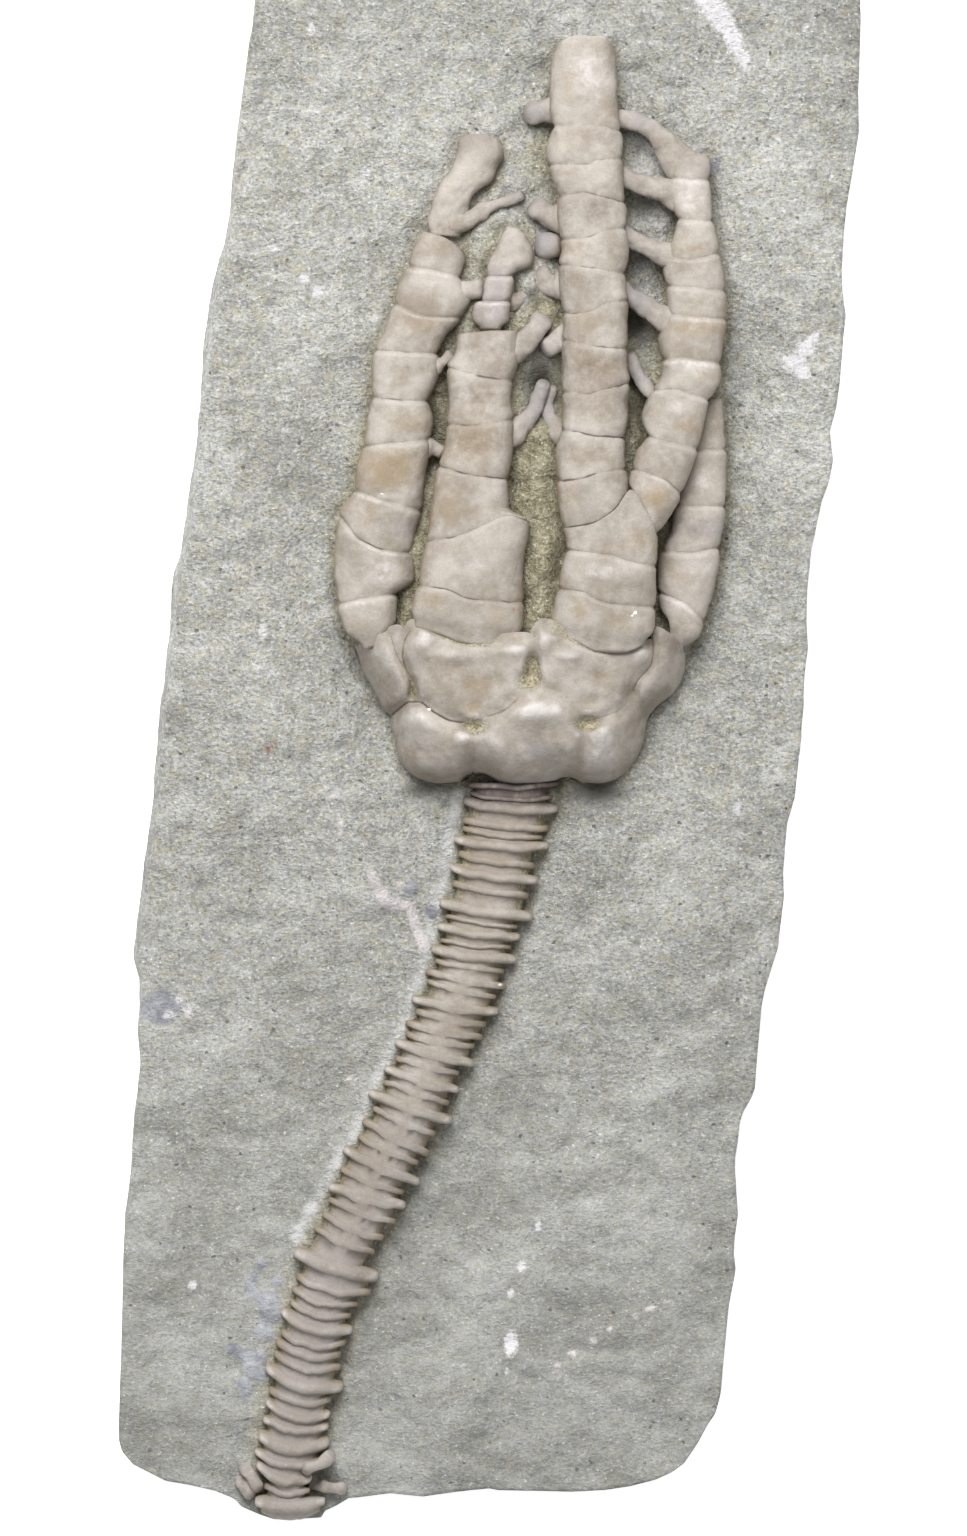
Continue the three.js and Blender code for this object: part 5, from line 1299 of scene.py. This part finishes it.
# %% The slab's outline
LEFT_SIDE = [
    (-43, -85), (-44.3, -83.5), (-44.7, -82), (-44.7, -80), (-44.4, -70), (-44.2, -60), (-44, -55),
    (-43.3, -50), (-43.1, -45), (-42.3, -37), (-42.7, -33), (-42.4, -30), (-42.3, -27), (-43, -24),
    (-42.6, -20), (-42.1, -15), (-41.5, -10), (-40.8, -5), (-40.5, 0), (-40, 5), (-39.3, 10), (-38.8, 15),
    (-38.5, 20), (-38.2, 22), (-37.5, 25), (-36.6, 30), (-35.9, 35), (-35.4, 40), (-34.9, 45), (-34.6, 50),
    (-34, 55), (-32.8, 60), (-32.1, 62), (-31.4, 66), (-31.1, 70), (-30.6, 75), (-29.9, 80), (-29.2, 85),
    (-28.7, 88), (-28.3, 91.78),
]
RIGHT_SIDE = [
    (23.5, -84.9), (25, -82.7), (26.3, -80.3), (27.2, -79), (27.8, -77), (28, -75), (28.5, -70),
    (28.9, -66), (29.7, -62), (29.5, -60), (29.6, -58), (30, -55), (29.6, -50), (29.6, -48), (30.2, -44),
    (30.6, -42.7), (31.5, -41.2), (32, -40), (32.2, -37), (32.8, -30), (33.2, -28), (34, -25.5),
    (34.8, -23), (35.1, -20), (35.5, -17), (35.4, -14), (35.7, -10), (35.9, -8), (36.8, -5), (37.3, 0),
    (37.7, 5), (38, 10), (38.4, 13), (38.2, 16), (38.3, 20), (38.8, 25), (40, 30.5), (40.9, 33),
    (41.4, 35.5), (41, 39), (41.8, 42), (42.2, 45), (42.6, 50), (42.9, 53), (42.6, 54.5), (42.4, 58),
    (42.7, 63), (43, 66), (43.7, 70), (44.5, 75), (44.4, 80), (44.6, 85), (44.7, 91.78),
]
FOOT_SIDE = [
    (-43, -85), (-41, -86), (-39, -87), (-36, -87.5), (-33, -88.2), (-31, -89), (-30.4, -89.4), (-30, -90),
    (-28, -90.9), (-26, -91.6), (-24, -91.8), (-22, -91.5), (-20.3, -91.4), (-19.8, -90.6), (-18.5, -90),
    (-17, -89.1), (-15, -88.9), (-12, -88.5), (-8, -88.9), (-4, -88.3), (0, -87.9), (1, -88.1), (10, -88.3),
    (14, -88.1), (17, -87.7), (20, -86.9), (22, -86), (23.5, -84.9),
]
HEAD_SIDE = [(-28.3, 91.78), (8, 91.78), (44.7, 91.78)]
# Width of the leaning left side that shows from above: y, millimetres.
LEFT_LEAN = np.array([
    (-92, 0.3), (-60, 0.4), (-40, 0.6), (-26, 0.8), (-20, 1.8), (-5, 1.7), (5, 1.7), (28, 1.8), (42, 0.8),
    (47, 1.9), (55, 2.5), (62, 1.7), (70, 0.7), (85, 0.5), (92, 0.4),
])


def spread(line, places):
    """Points on a broken line at shares of its length."""
    line = np.asarray(line, float)
    steps = np.concatenate([[0], np.cumsum(np.linalg.norm(np.diff(line, axis=0), axis=1))])
    return np.stack([np.interp(places, steps / steps[-1], line[:, axis]) for axis in range(2)], axis=1)


def crowded(count, low, high, extra):
    """Shares from 0 to 1 that lie 1 + extra times as close together between low and high."""
    fine = np.linspace(0, 1, 2001)
    weight = 1 + extra * smoothstep(low - 0.06, low, fine) * (1 - smoothstep(high, high + 0.06, fine))
    total = np.concatenate([[0], np.cumsum((weight[1:] + weight[:-1]) / 2)])
    return np.interp(np.linspace(0, total[-1], count), total, fine)


# The grid's lines are closer together where the fossil lies.
U = crowded(200, 0.26, 0.88, 0.55)
V = crowded(372, 0.46, 0.96, 0.35)


def coons():
    """Face points (v, u): (1-v) foot + v head + (1-u) left + u right - the blend of the four corners."""
    left = spread(LEFT_SIDE, V)
    right = spread(RIGHT_SIDE, V)
    foot = spread(FOOT_SIDE, U)
    head = spread(HEAD_SIDE, U)
    u, v = U[None, :, None], V[:, None, None]
    corners = (1 - v) * ((1 - u) * foot[0] + u * foot[-1]) + v * ((1 - u) * head[0] + u * head[-1])
    return (1 - v) * foot + v * head + (1 - u) * left[:, None] + u * right[:, None] - corners


# %% [markdown]
# The needle went down beside the fossil, so the distance to its edges shapes the stone there. The edges are
# read from the rows and discs above, and the marks on the stone are listed as spots and lines in plan.

# %% The slab's relief
# Swells and dents: x, y, radius across, radius along, height.
FACE_SWELLS = [
    (6, 23, 3.2, 12, 2.4), (6.2, 44.5, 2.4, 4.5, -3.4), (-9.4, 22, 2.4, 9, 1.6), (18.4, 47, 1.8, 7, -1.6),
    (-6, 42, 1.6, 7, -1.4), (1, 63, 6, 6, 1.2), (-6.5, -28, 14, 30, -0.7), (-17, -66, 12, 24, -0.7),
    (24, -62, 16, 18, -0.8), (-30, 50, 16, 40, 0.7), (36, 60, 12, 34, 0.6), (20, -25, 16, 20, 0.7),
    (14.5, -71.3, 3, 1, -0.7), (27.6, -57.4, 2.6, 1.6, -0.7), (24.8, -56, 2, 0.5, -0.4), (-33, -2, 7, 4, 0.5),
    (17.6, 61, 1.8, 14, -0.4), (-8.6, -4.4, 3, 1.2, -0.5), (12.8, -4.8, 4, 1.4, -0.5),
]
# Grains of blue-grey crystal beside the stem's foot: x, y, radius.
PEBBLES = [
    (-27.5, -61, 0.7), (-28.5, -62.7, 0.8), (-25.5, -63, 0.7), (-28.8, -64.3, 0.7), (-27.2, -65.3, 0.9),
    (-26, -65.2, 0.8), (-26.9, -66.9, 0.8), (-25.7, -67.3, 0.8), (-27.5, -69, 0.9), (-26.5, -69.6, 0.7),
    (-30.9, -71.1, 0.8), (-29.5, -72, 0.9), (-27.5, -72, 0.8), (-28.7, -73.4, 0.8), (-27.5, -74.3, 0.9),
    (-29.6, -75.4, 0.8), (-29.2, -76.7, 0.7), (-9.5, -15.9, 1.0), (-7, -18.7, 0.9),
]
FOSSIL_EDGES = [CUP_EDGE]
for shape in ARMS.values():
    FOSSIL_EDGES.append([row["points"][0] for row in shape["rows"]])
    FOSSIL_EDGES.append([row["points"][-1] for row in shape["rows"]])
STEM_EDGES = [STEM_DISCS[::2, :2], STEM_DISCS[::2, 2:4]]
TRACK = [
    (-3.8, -4.5), (-4.6, -8), (-5.2, -12), (-6, -16), (-6.9, -20), (-8.4, -26.4), (-10.3, -32.3),
    (-12, -35.6), (-13.7, -39.2), (-15.4, -43.2), (-17.5, -47.4), (-21, -53.4), (-23.3, -57.8),
]
SHELL_HASH = [(-14.2, -14.4), (-13.2, -16.4), (-12.4, -17.7), (-9.8, -18), (-8.9, -20.4), (-7.8, -23)]


def face_height(xy):
    """The slab's face, without its grain: a mound 4.2 * (1 - across^2) that fills the crown, a moat along the
    crown's edge, a slow ripple of two sines, and the swells and dents."""
    x, y = xy[..., 0], xy[..., 1]
    across = across_crown(xy)
    reach = smoothstep(-4, 4, y) * (1 - smoothstep(40, 84, y))
    filling = 4.2 * reach * np.maximum(0, 1 - across**2)
    moat = -1.1 * reach * bell((across - 1.12) / 0.16)
    ripple = 0.25 * np.sin(0.21 * x + 0.13 * y) + 0.2 * np.sin(0.17 * y - 0.31 * x)
    return filling + moat + ripple + spots(xy, FACE_SWELLS)


def least_away(xy, lines):
    """Distance to the nearest of several lines."""
    return np.min([away(xy, line, 4.0) for line in lines], axis=0)


face_xy = coons()
lean = np.interp(face_xy[..., 1], LEFT_LEAN[:, 0], LEFT_LEAN[:, 1])
face_xy[..., 0] += (lean - 0.15) * (1 - U[None]) ** 4 - 0.25 * U[None] ** 4
crown_gap = least_away(face_xy, FOSSIL_EDGES)
stem_gap = least_away(face_xy, STEM_EDGES)
track_gap = away(face_xy, TRACK)
level = face_height(face_xy)
slanted = face_xy @ np.array([[0.94, -0.34], [0.55, 1.5]])
level += (
    0.45 * rough(face_xy, 9.0, 2, 41) + 0.3 * rough(slanted, 4.4, 2, 47)
    + 0.24 * rough(face_xy * [1, 1.3], 2.4, 3, 43)
)
within = smoothstep(1.1, 0.9, across_crown(face_xy)) * smoothstep(10, 14, face_xy[..., 1])
level += 0.55 * within * rough(face_xy, 2.0, 3, 45)
level += 0.15 * bell(track_gap / 1.2) - 0.7 * bell(crown_gap / 0.9) - 0.25 * bell(stem_gap / 0.7)
level += 0.6 * bell(away(face_xy, STEM_EDGES[0]) / 0.9)
level += spots(face_xy, [(x, y, size, size, 0.6 * size) for x, y, size in PEBBLES])
level += 0.5 * bell(away(face_xy, SHELL_HASH) / 0.7) * (1 + rough(face_xy, 1.2, 2, 61))
print("slab face from %.1f to %.1f mm" % (level.min(), level.max()))

# %% [markdown]
# The marks on the stone: white scraps of shell, rust spots, blue-grey crystals, gold sediment between the
# arms, the pale track beside the stem, and painted shade in the deep places, under the cup and along the
# fossil's edges. Each row is x, y, radius across, radius along and strength.

# %% The slab's marks
WHITE_MARKS = [
    (25.2, 91.2, 1.3, 0.9, 0.8), (26.6, 90, 1.6, 1.4, 1.2), (28, 88, 1.5, 1.6, 1.2),
    (29.3, 85.6, 1.1, 1.5, 1.2), (30.6, 83.4, 0.8, 1.2, 1.1), (36.2, 47.2, 1.3, 1.2, 1.2),
    (37.9, 48.9, 1.1, 1.2, 1.2), (37.6, 46, 0.9, 0.9, 1.1), (39, 50.4, 0.7, 0.8, 1),
    (-21.5, 87.2, 0.7, 1, 0.9), (-14.7, 70, 0.7, 0.5, 1), (-28, 64, 0.5, 0.4, 1), (-26, 60.8, 0.8, 0.6, 1),
    (-22.2, 57.3, 0.7, 0.8, 1.2), (-20.7, 55.6, 0.8, 0.9, 1.2), (36.5, 66.5, 0.8, 0.5, 1),
    (35, 65.5, 0.9, 0.4, 1), (39, 61, 0.5, 0.6, 0.9), (38, 87.5, 0.8, 0.5, 0.9), (41, 69.5, 0.4, 0.8, 1),
    (-27.2, 15, 0.5, 1.2, 1.3), (-35.7, -63.5, 0.5, 0.45, 1.6), (29.6, -6.2, 0.7, 1.0, 0.9),
    (2.5, -70.5, 0.9, 1.6, 1.3), (5.8, -56.3, 0.5, 0.9, 1), (3.8, -61.3, 0.6, 0.9, 1.1),
    (2.5, -64.5, 0.6, 0.7, 1), (2, -74, 0.4, 0.6, 0.9), (-7.6, -23.1, 0.5, 0.6, 1.1),
    (-30, -54.2, 0.7, 0.3, 1), (18.5, -12, 0.6, 0.4, 0.8), (17, -18, 0.7, 0.5, 0.8),
    (12, -22.6, 0.7, 0.4, 0.9), (-38.6, -31, 1.1, 0.7, 1), (-37.4, -29.2, 0.6, 0.7, 1),
    (-36.2, -30.6, 0.7, 0.9, 0.9), (-12.9, -17.9, 0.7, 0.4, 0.8), (-9, -20.4, 0.4, 0.7, 0.8),
]
RUST_MARKS = [
    (-22.3, 18, 0.8, 0.9, 1), (-27, 21, 0.6, 0.4, 0.9), (-26.6, 0.8, 0.5, 1.1, 1.3),
    (-25.6, 1.7, 0.8, 0.4, 1.1), (-24.4, 1.3, 0.5, 0.4, 0.9), (30.6, -9.2, 0.4, 0.4, 1.2),
    (27.3, 24.8, 0.8, 0.4, 1), (-22.6, 19.8, 0.5, 0.4, 0.8), (24.4, -54.6, 0.4, 0.5, 0.9),
    (25.4, -53.9, 0.4, 0.5, 0.9), (16.3, -64.7, 0.8, 0.4, 0.6), (5, 21, 0.5, 0.5, 0.6),
]
BLUE_MARKS = [
    (-39.6, -30.2, 2.4, 2, 1.7), (27, 71, 0.9, 1.4, 1), (18.4, 73.6, 1, 0.8, 0.6), (3.4, 54.6, 1.6, 1.4, 0.9),
    (2.5, -70.5, 1.2, 2, 0.6), (29.6, -6.2, 1.1, 1.5, 0.7), (18.2, 58.6, 1.2, 1.3, 0.6),
]
LILAC_MARKS = [
    (-17.9, -8.6, 0.5, 1.7, 0.9), (-16.6, -38.7, 1.1, 0.4, 0.9), (-18.6, -4.8, 0.7, 0.6, 0.9),
    (-11, -15.6, 1.4, 1, 0.6), (8, -73, 0.8, 0.5, 0.8), (9.9, -71.8, 0.9, 0.5, 0.9),
    (12.4, -70.2, 0.9, 0.5, 0.9), (14.4, -68.9, 0.6, 0.5, 0.9), (17.6, -67.2, 1, 0.5, 0.8),
    (19.3, -66.3, 0.9, 0.5, 0.9), (21.2, -65.5, 0.7, 0.4, 0.7), (17, -17, 2, 1, 0.4),
]
PAINTED_SHADE_MARKS = [
    (6.2, 44.5, 2.2, 4.2, 1.2), (17.6, 51.6, 1.6, 2, 1.2), (17.6, 41.4, 1, 2.2, 0.8),
    (17.8, 73.4, 1.6, 1.3, 0.7), (18.4, 65.6, 1.7, 1.3, 0.6), (18, 59, 1.8, 1.8, 0.4),
    (13.4, -4.3, 4, 1.3, 0.85), (-8.4, -4.1, 2.6, 1.2, 0.8), (27.8, -57.6, 2.2, 1.8, 0.5),
    (25.2, -55.9, 1.6, 0.3, 0.5), (-22.7, -86.8, 0.6, 0.5, 1), (-6.4, 40, 1.2, 3, 0.5),
    (5, 55, 1.4, 1.6, 0.8), (14.4, -71.2, 2.8, 0.8, 0.5), (-17.9, -90.3, 0.6, 0.5, 0.8),
    (-31, 11.4, 6, 0.5, 0.35), (4, -7, 13, 3.4, 0.4), (2, -42, 7, 20, 0.35), (6.4, 50, 1.4, 1.8, 1.0),
]
GOLD_MARKS = [
    (5.6, 25, 2.6, 11, 0.9), (5.4, 36, 2.4, 4, 0.9), (-9.5, 22, 2.2, 8, 0.6), (5, 66, 3, 6, 0.2),
    (6.2, 52.6, 2, 3, 0.7), (-7, 38, 1.6, 6, 0.5), (18.5, 41.5, 1.6, 4, 0.5), (5.4, 72, 1.6, 7, 0.35),
    (20.4, 24, 1, 4, 0.6), (-1, 62, 3, 4, 0.3), (-0.4, 68.6, 1.4, 0.8, 0.9), (18.4, 67, 1.4, 1.6, 0.5),
]


def slab_marks(xy):
    """Attributes of the slab's points: the sum of their spots, and a bell of the distance to each line."""
    crown = least_away(xy, FOSSIL_EDGES)
    stalk = least_away(xy, STEM_EDGES)
    inside = smoothstep(1.15, 0.9, across_crown(xy)) * smoothstep(10, 18, xy[..., 1])
    inside *= smoothstep(66, 50, xy[..., 1])
    powder = bell(np.hypot(xy[..., 0] - 10, xy[..., 1] - 87) / 3.5)
    return {
        "white": spots(xy, WHITE_MARKS),
        "rust": spots(xy, RUST_MARKS),
        "blue": spots(xy, BLUE_MARKS) + spots(xy, [(x, y, size, size, 1.5) for x, y, size in PEBBLES]),
        "lilac": spots(xy, LILAC_MARKS) + 1.1 * bell(away(xy, SHELL_HASH) / 0.75),
        "track": 0.8 * bell(away(xy, TRACK) / 1.05) + 0.5 * powder,
        "gold": spots(xy, GOLD_MARKS) + 0.3 * inside + 0.45 * bell(crown / 1.3) + 0.5 * bell(stalk / 2),
        # Painted shade in hollows and under the cup, and along the edges of the crown and the stem.
        "dark": spots(xy, PAINTED_SHADE_MARKS) + 0.35 * bell(crown / 0.6) + 0.35 * bell(stalk / 0.5),
    }


# How far below the slab's face its wall has rings.
WALL_DEPTHS = (0.25, 0.9, 2.0, 3.4, 5.0, 6.8, 8.8, 10.8, 12.8, 14.6, 16.2, 17.4, SLAB_TOP)
LEAN_DEPTH = 3.6  # how far down the leaning left side reaches the outline
CHIP_DEPTH = 0.35  # how much of the wall is chipped off on average, and once more below UNDERCUT_DEPTH
UNDERCUT_DEPTH = 15.0


def rim_of(grid):
    """The points on the rim of a grid, once round from its first corner: foot, right, head and left side."""
    return np.concatenate([grid[0, :-1], grid[:-1, -1], grid[-1, :0:-1], grid[:0:-1, 0]])


def slab():
    """The face, whose rim is carried down to the floor in rings: at depth d the wall has gone the share
    sqrt(d / LEAN_DEPTH) of the way out to the outline, and then back in by the depth of the chips."""
    face = lifted(face_xy[..., 0], face_xy[..., 1], level)
    rim = rim_of(face)
    foot, right = spread(FOOT_SIDE, U), spread(RIGHT_SIDE, V)
    head, left = spread(HEAD_SIDE, U), spread(LEFT_SIDE, V)
    outline = np.concatenate([foot[:-1], right[:-1], head[:0:-1], left[:0:-1]])
    rings = [rim]
    inward = outline.mean(axis=0) - outline
    inward /= np.linalg.norm(inward, axis=1, keepdims=True)
    for depth in WALL_DEPTHS:
        share = np.clip(depth / LEAN_DEPTH, 0, 1) ** 0.5
        left_over = 1 - depth / SLAB_TOP
        z = np.maximum(rim[:, 2] - depth, 0) * left_over**0.15
        z = np.minimum(z, SLAB_TOP - depth + (rim[:, 2] - SLAB_TOP) * left_over)
        plan = rim[:, :2] + (outline - rim[:, :2]) * share
        spot = np.concatenate([plan, z[:, None]], axis=1)
        chipped = CHIP_DEPTH * (1 + rough(spot, 4.0, 3, 51)) + CHIP_DEPTH * (depth > UNDERCUT_DEPTH)
        calm = smoothstep(0, 1.5, depth)
        plan = plan + inward * (chipped * calm)[:, None] * 0.6
        rings.append(np.concatenate([plan, z[:, None]], axis=1))
    wall = np.stack(rings)
    rows, columns = face.shape[:2]
    index = np.arange(rows * columns).reshape(rows, columns)
    quads = np.stack([index[:-1, :-1], index[:-1, 1:], index[1:, 1:], index[1:, :-1]], axis=-1)
    loop = rim_of(index)
    around = len(loop)
    lower = rows * columns + np.arange((len(rings) - 1) * around).reshape(-1, around)
    stack = np.vstack([loop, lower])
    beside = np.roll(stack, -1, axis=1)
    walls = np.stack([stack[1:], beside[1:], beside[:-1], stack[:-1]], axis=-1).reshape(-1, 4)
    middle = rows * columns + lower.size
    fan = np.stack([np.full(around, middle), beside[-1], stack[-1]], axis=1)
    floor_middle = np.append(wall[-1, :, :2].mean(axis=0), 0)
    points = np.vstack([face.reshape(-1, 3), wall[1:].reshape(-1, 3), floor_middle])
    marks = slab_marks(points[:, :2])
    on_face = np.arange(len(points)) < rows * columns
    left_wall = np.tile(0.5 * smoothstep(0.25, 0.6, inward[:, 0]), len(WALL_DEPTHS))
    marks["blue"] = marks["blue"] * on_face + np.concatenate([np.zeros(rows * columns), left_wall, [0]])
    for label in ("white", "rust", "lilac", "track", "gold", "dark"):
        marks[label] = marks[label] * on_face
    faces = quads.reshape(-1, 4).tolist() + walls.tolist() + fan.tolist()
    return publish("matrix_surface", points, faces, SILTSTONE, marks, ["matrix"])


slab()

# %% [markdown]
# The floor is a plain pale board. A large soft light stands to the upper left, as the shadows on the right
# of the stem and under the cup say, and a pale sky fills them. The camera looks straight down with a long
# lens, so that the fossil's height hardly changes its outline.

# %% Floor, light and camera
REACH = 3.0  # metres from the slab to the floor's edges
board = bpy.data.meshes.new("floor")
corners = [(-REACH, -REACH, 0), (REACH, -REACH, 0), (REACH, REACH, 0), (-REACH, REACH, 0)]
board.from_pydata(corners, [], [(0, 1, 2, 3)])
pale = Recipe("pale_floor")
tint = pale.mix(rgb(0.93, 0.93, 0.93), rgb(0.95, 0.95, 0.95), pale.noise(40.0))
board.materials.append(pale.finish(tint, 0.8, pale.noise(5.0), 0.01, 0.2, specular=0.2, glow=0.6))
floor = bpy.data.objects.new("floor", board)
bpy.context.scene.collection.objects.link(floor)


def soft_light(name, place, size, power):
    """A square area light at a place in metres that faces the slab."""
    lamp = bpy.data.lights.new(name, "AREA")
    lamp.size = size
    lamp.energy = power
    made = bpy.data.objects.new(name, lamp)
    bpy.context.scene.collection.objects.link(made)
    made.location = place
    x, y, z = np.array(place) - np.array([0, 0, SLAB_TOP * MM])
    made.rotation_euler = (np.arctan2(np.hypot(x, y), z), 0, np.arctan2(x, -y))
    return made


soft_light("window_light", (-0.06, 0.29, 0.43), 0.30, 3.5)
world = bpy.data.worlds.new("soft_sky")
world.use_nodes = True
world.node_tree.nodes["Background"].inputs["Color"].default_value = rgb(0.96, 0.98, 1.0)
world.node_tree.nodes["Background"].inputs["Strength"].default_value = 0.6
bpy.context.scene.world = world

lens = bpy.data.cameras.new("camera")
lens.sensor_fit = "VERTICAL"
lens.sensor_height = SENSOR_HEIGHT
lens.lens = LENS
lens.clip_end = 20.0
camera = bpy.data.objects.new("camera", lens)
camera.location = (AXIS_X * MM, AXIS_Y * MM, (SLAB_TOP + LENS_HEIGHT) * MM)
bpy.context.scene.collection.objects.link(camera)
bpy.context.scene.camera = camera
bpy.context.scene.view_settings.view_transform = "Standard"
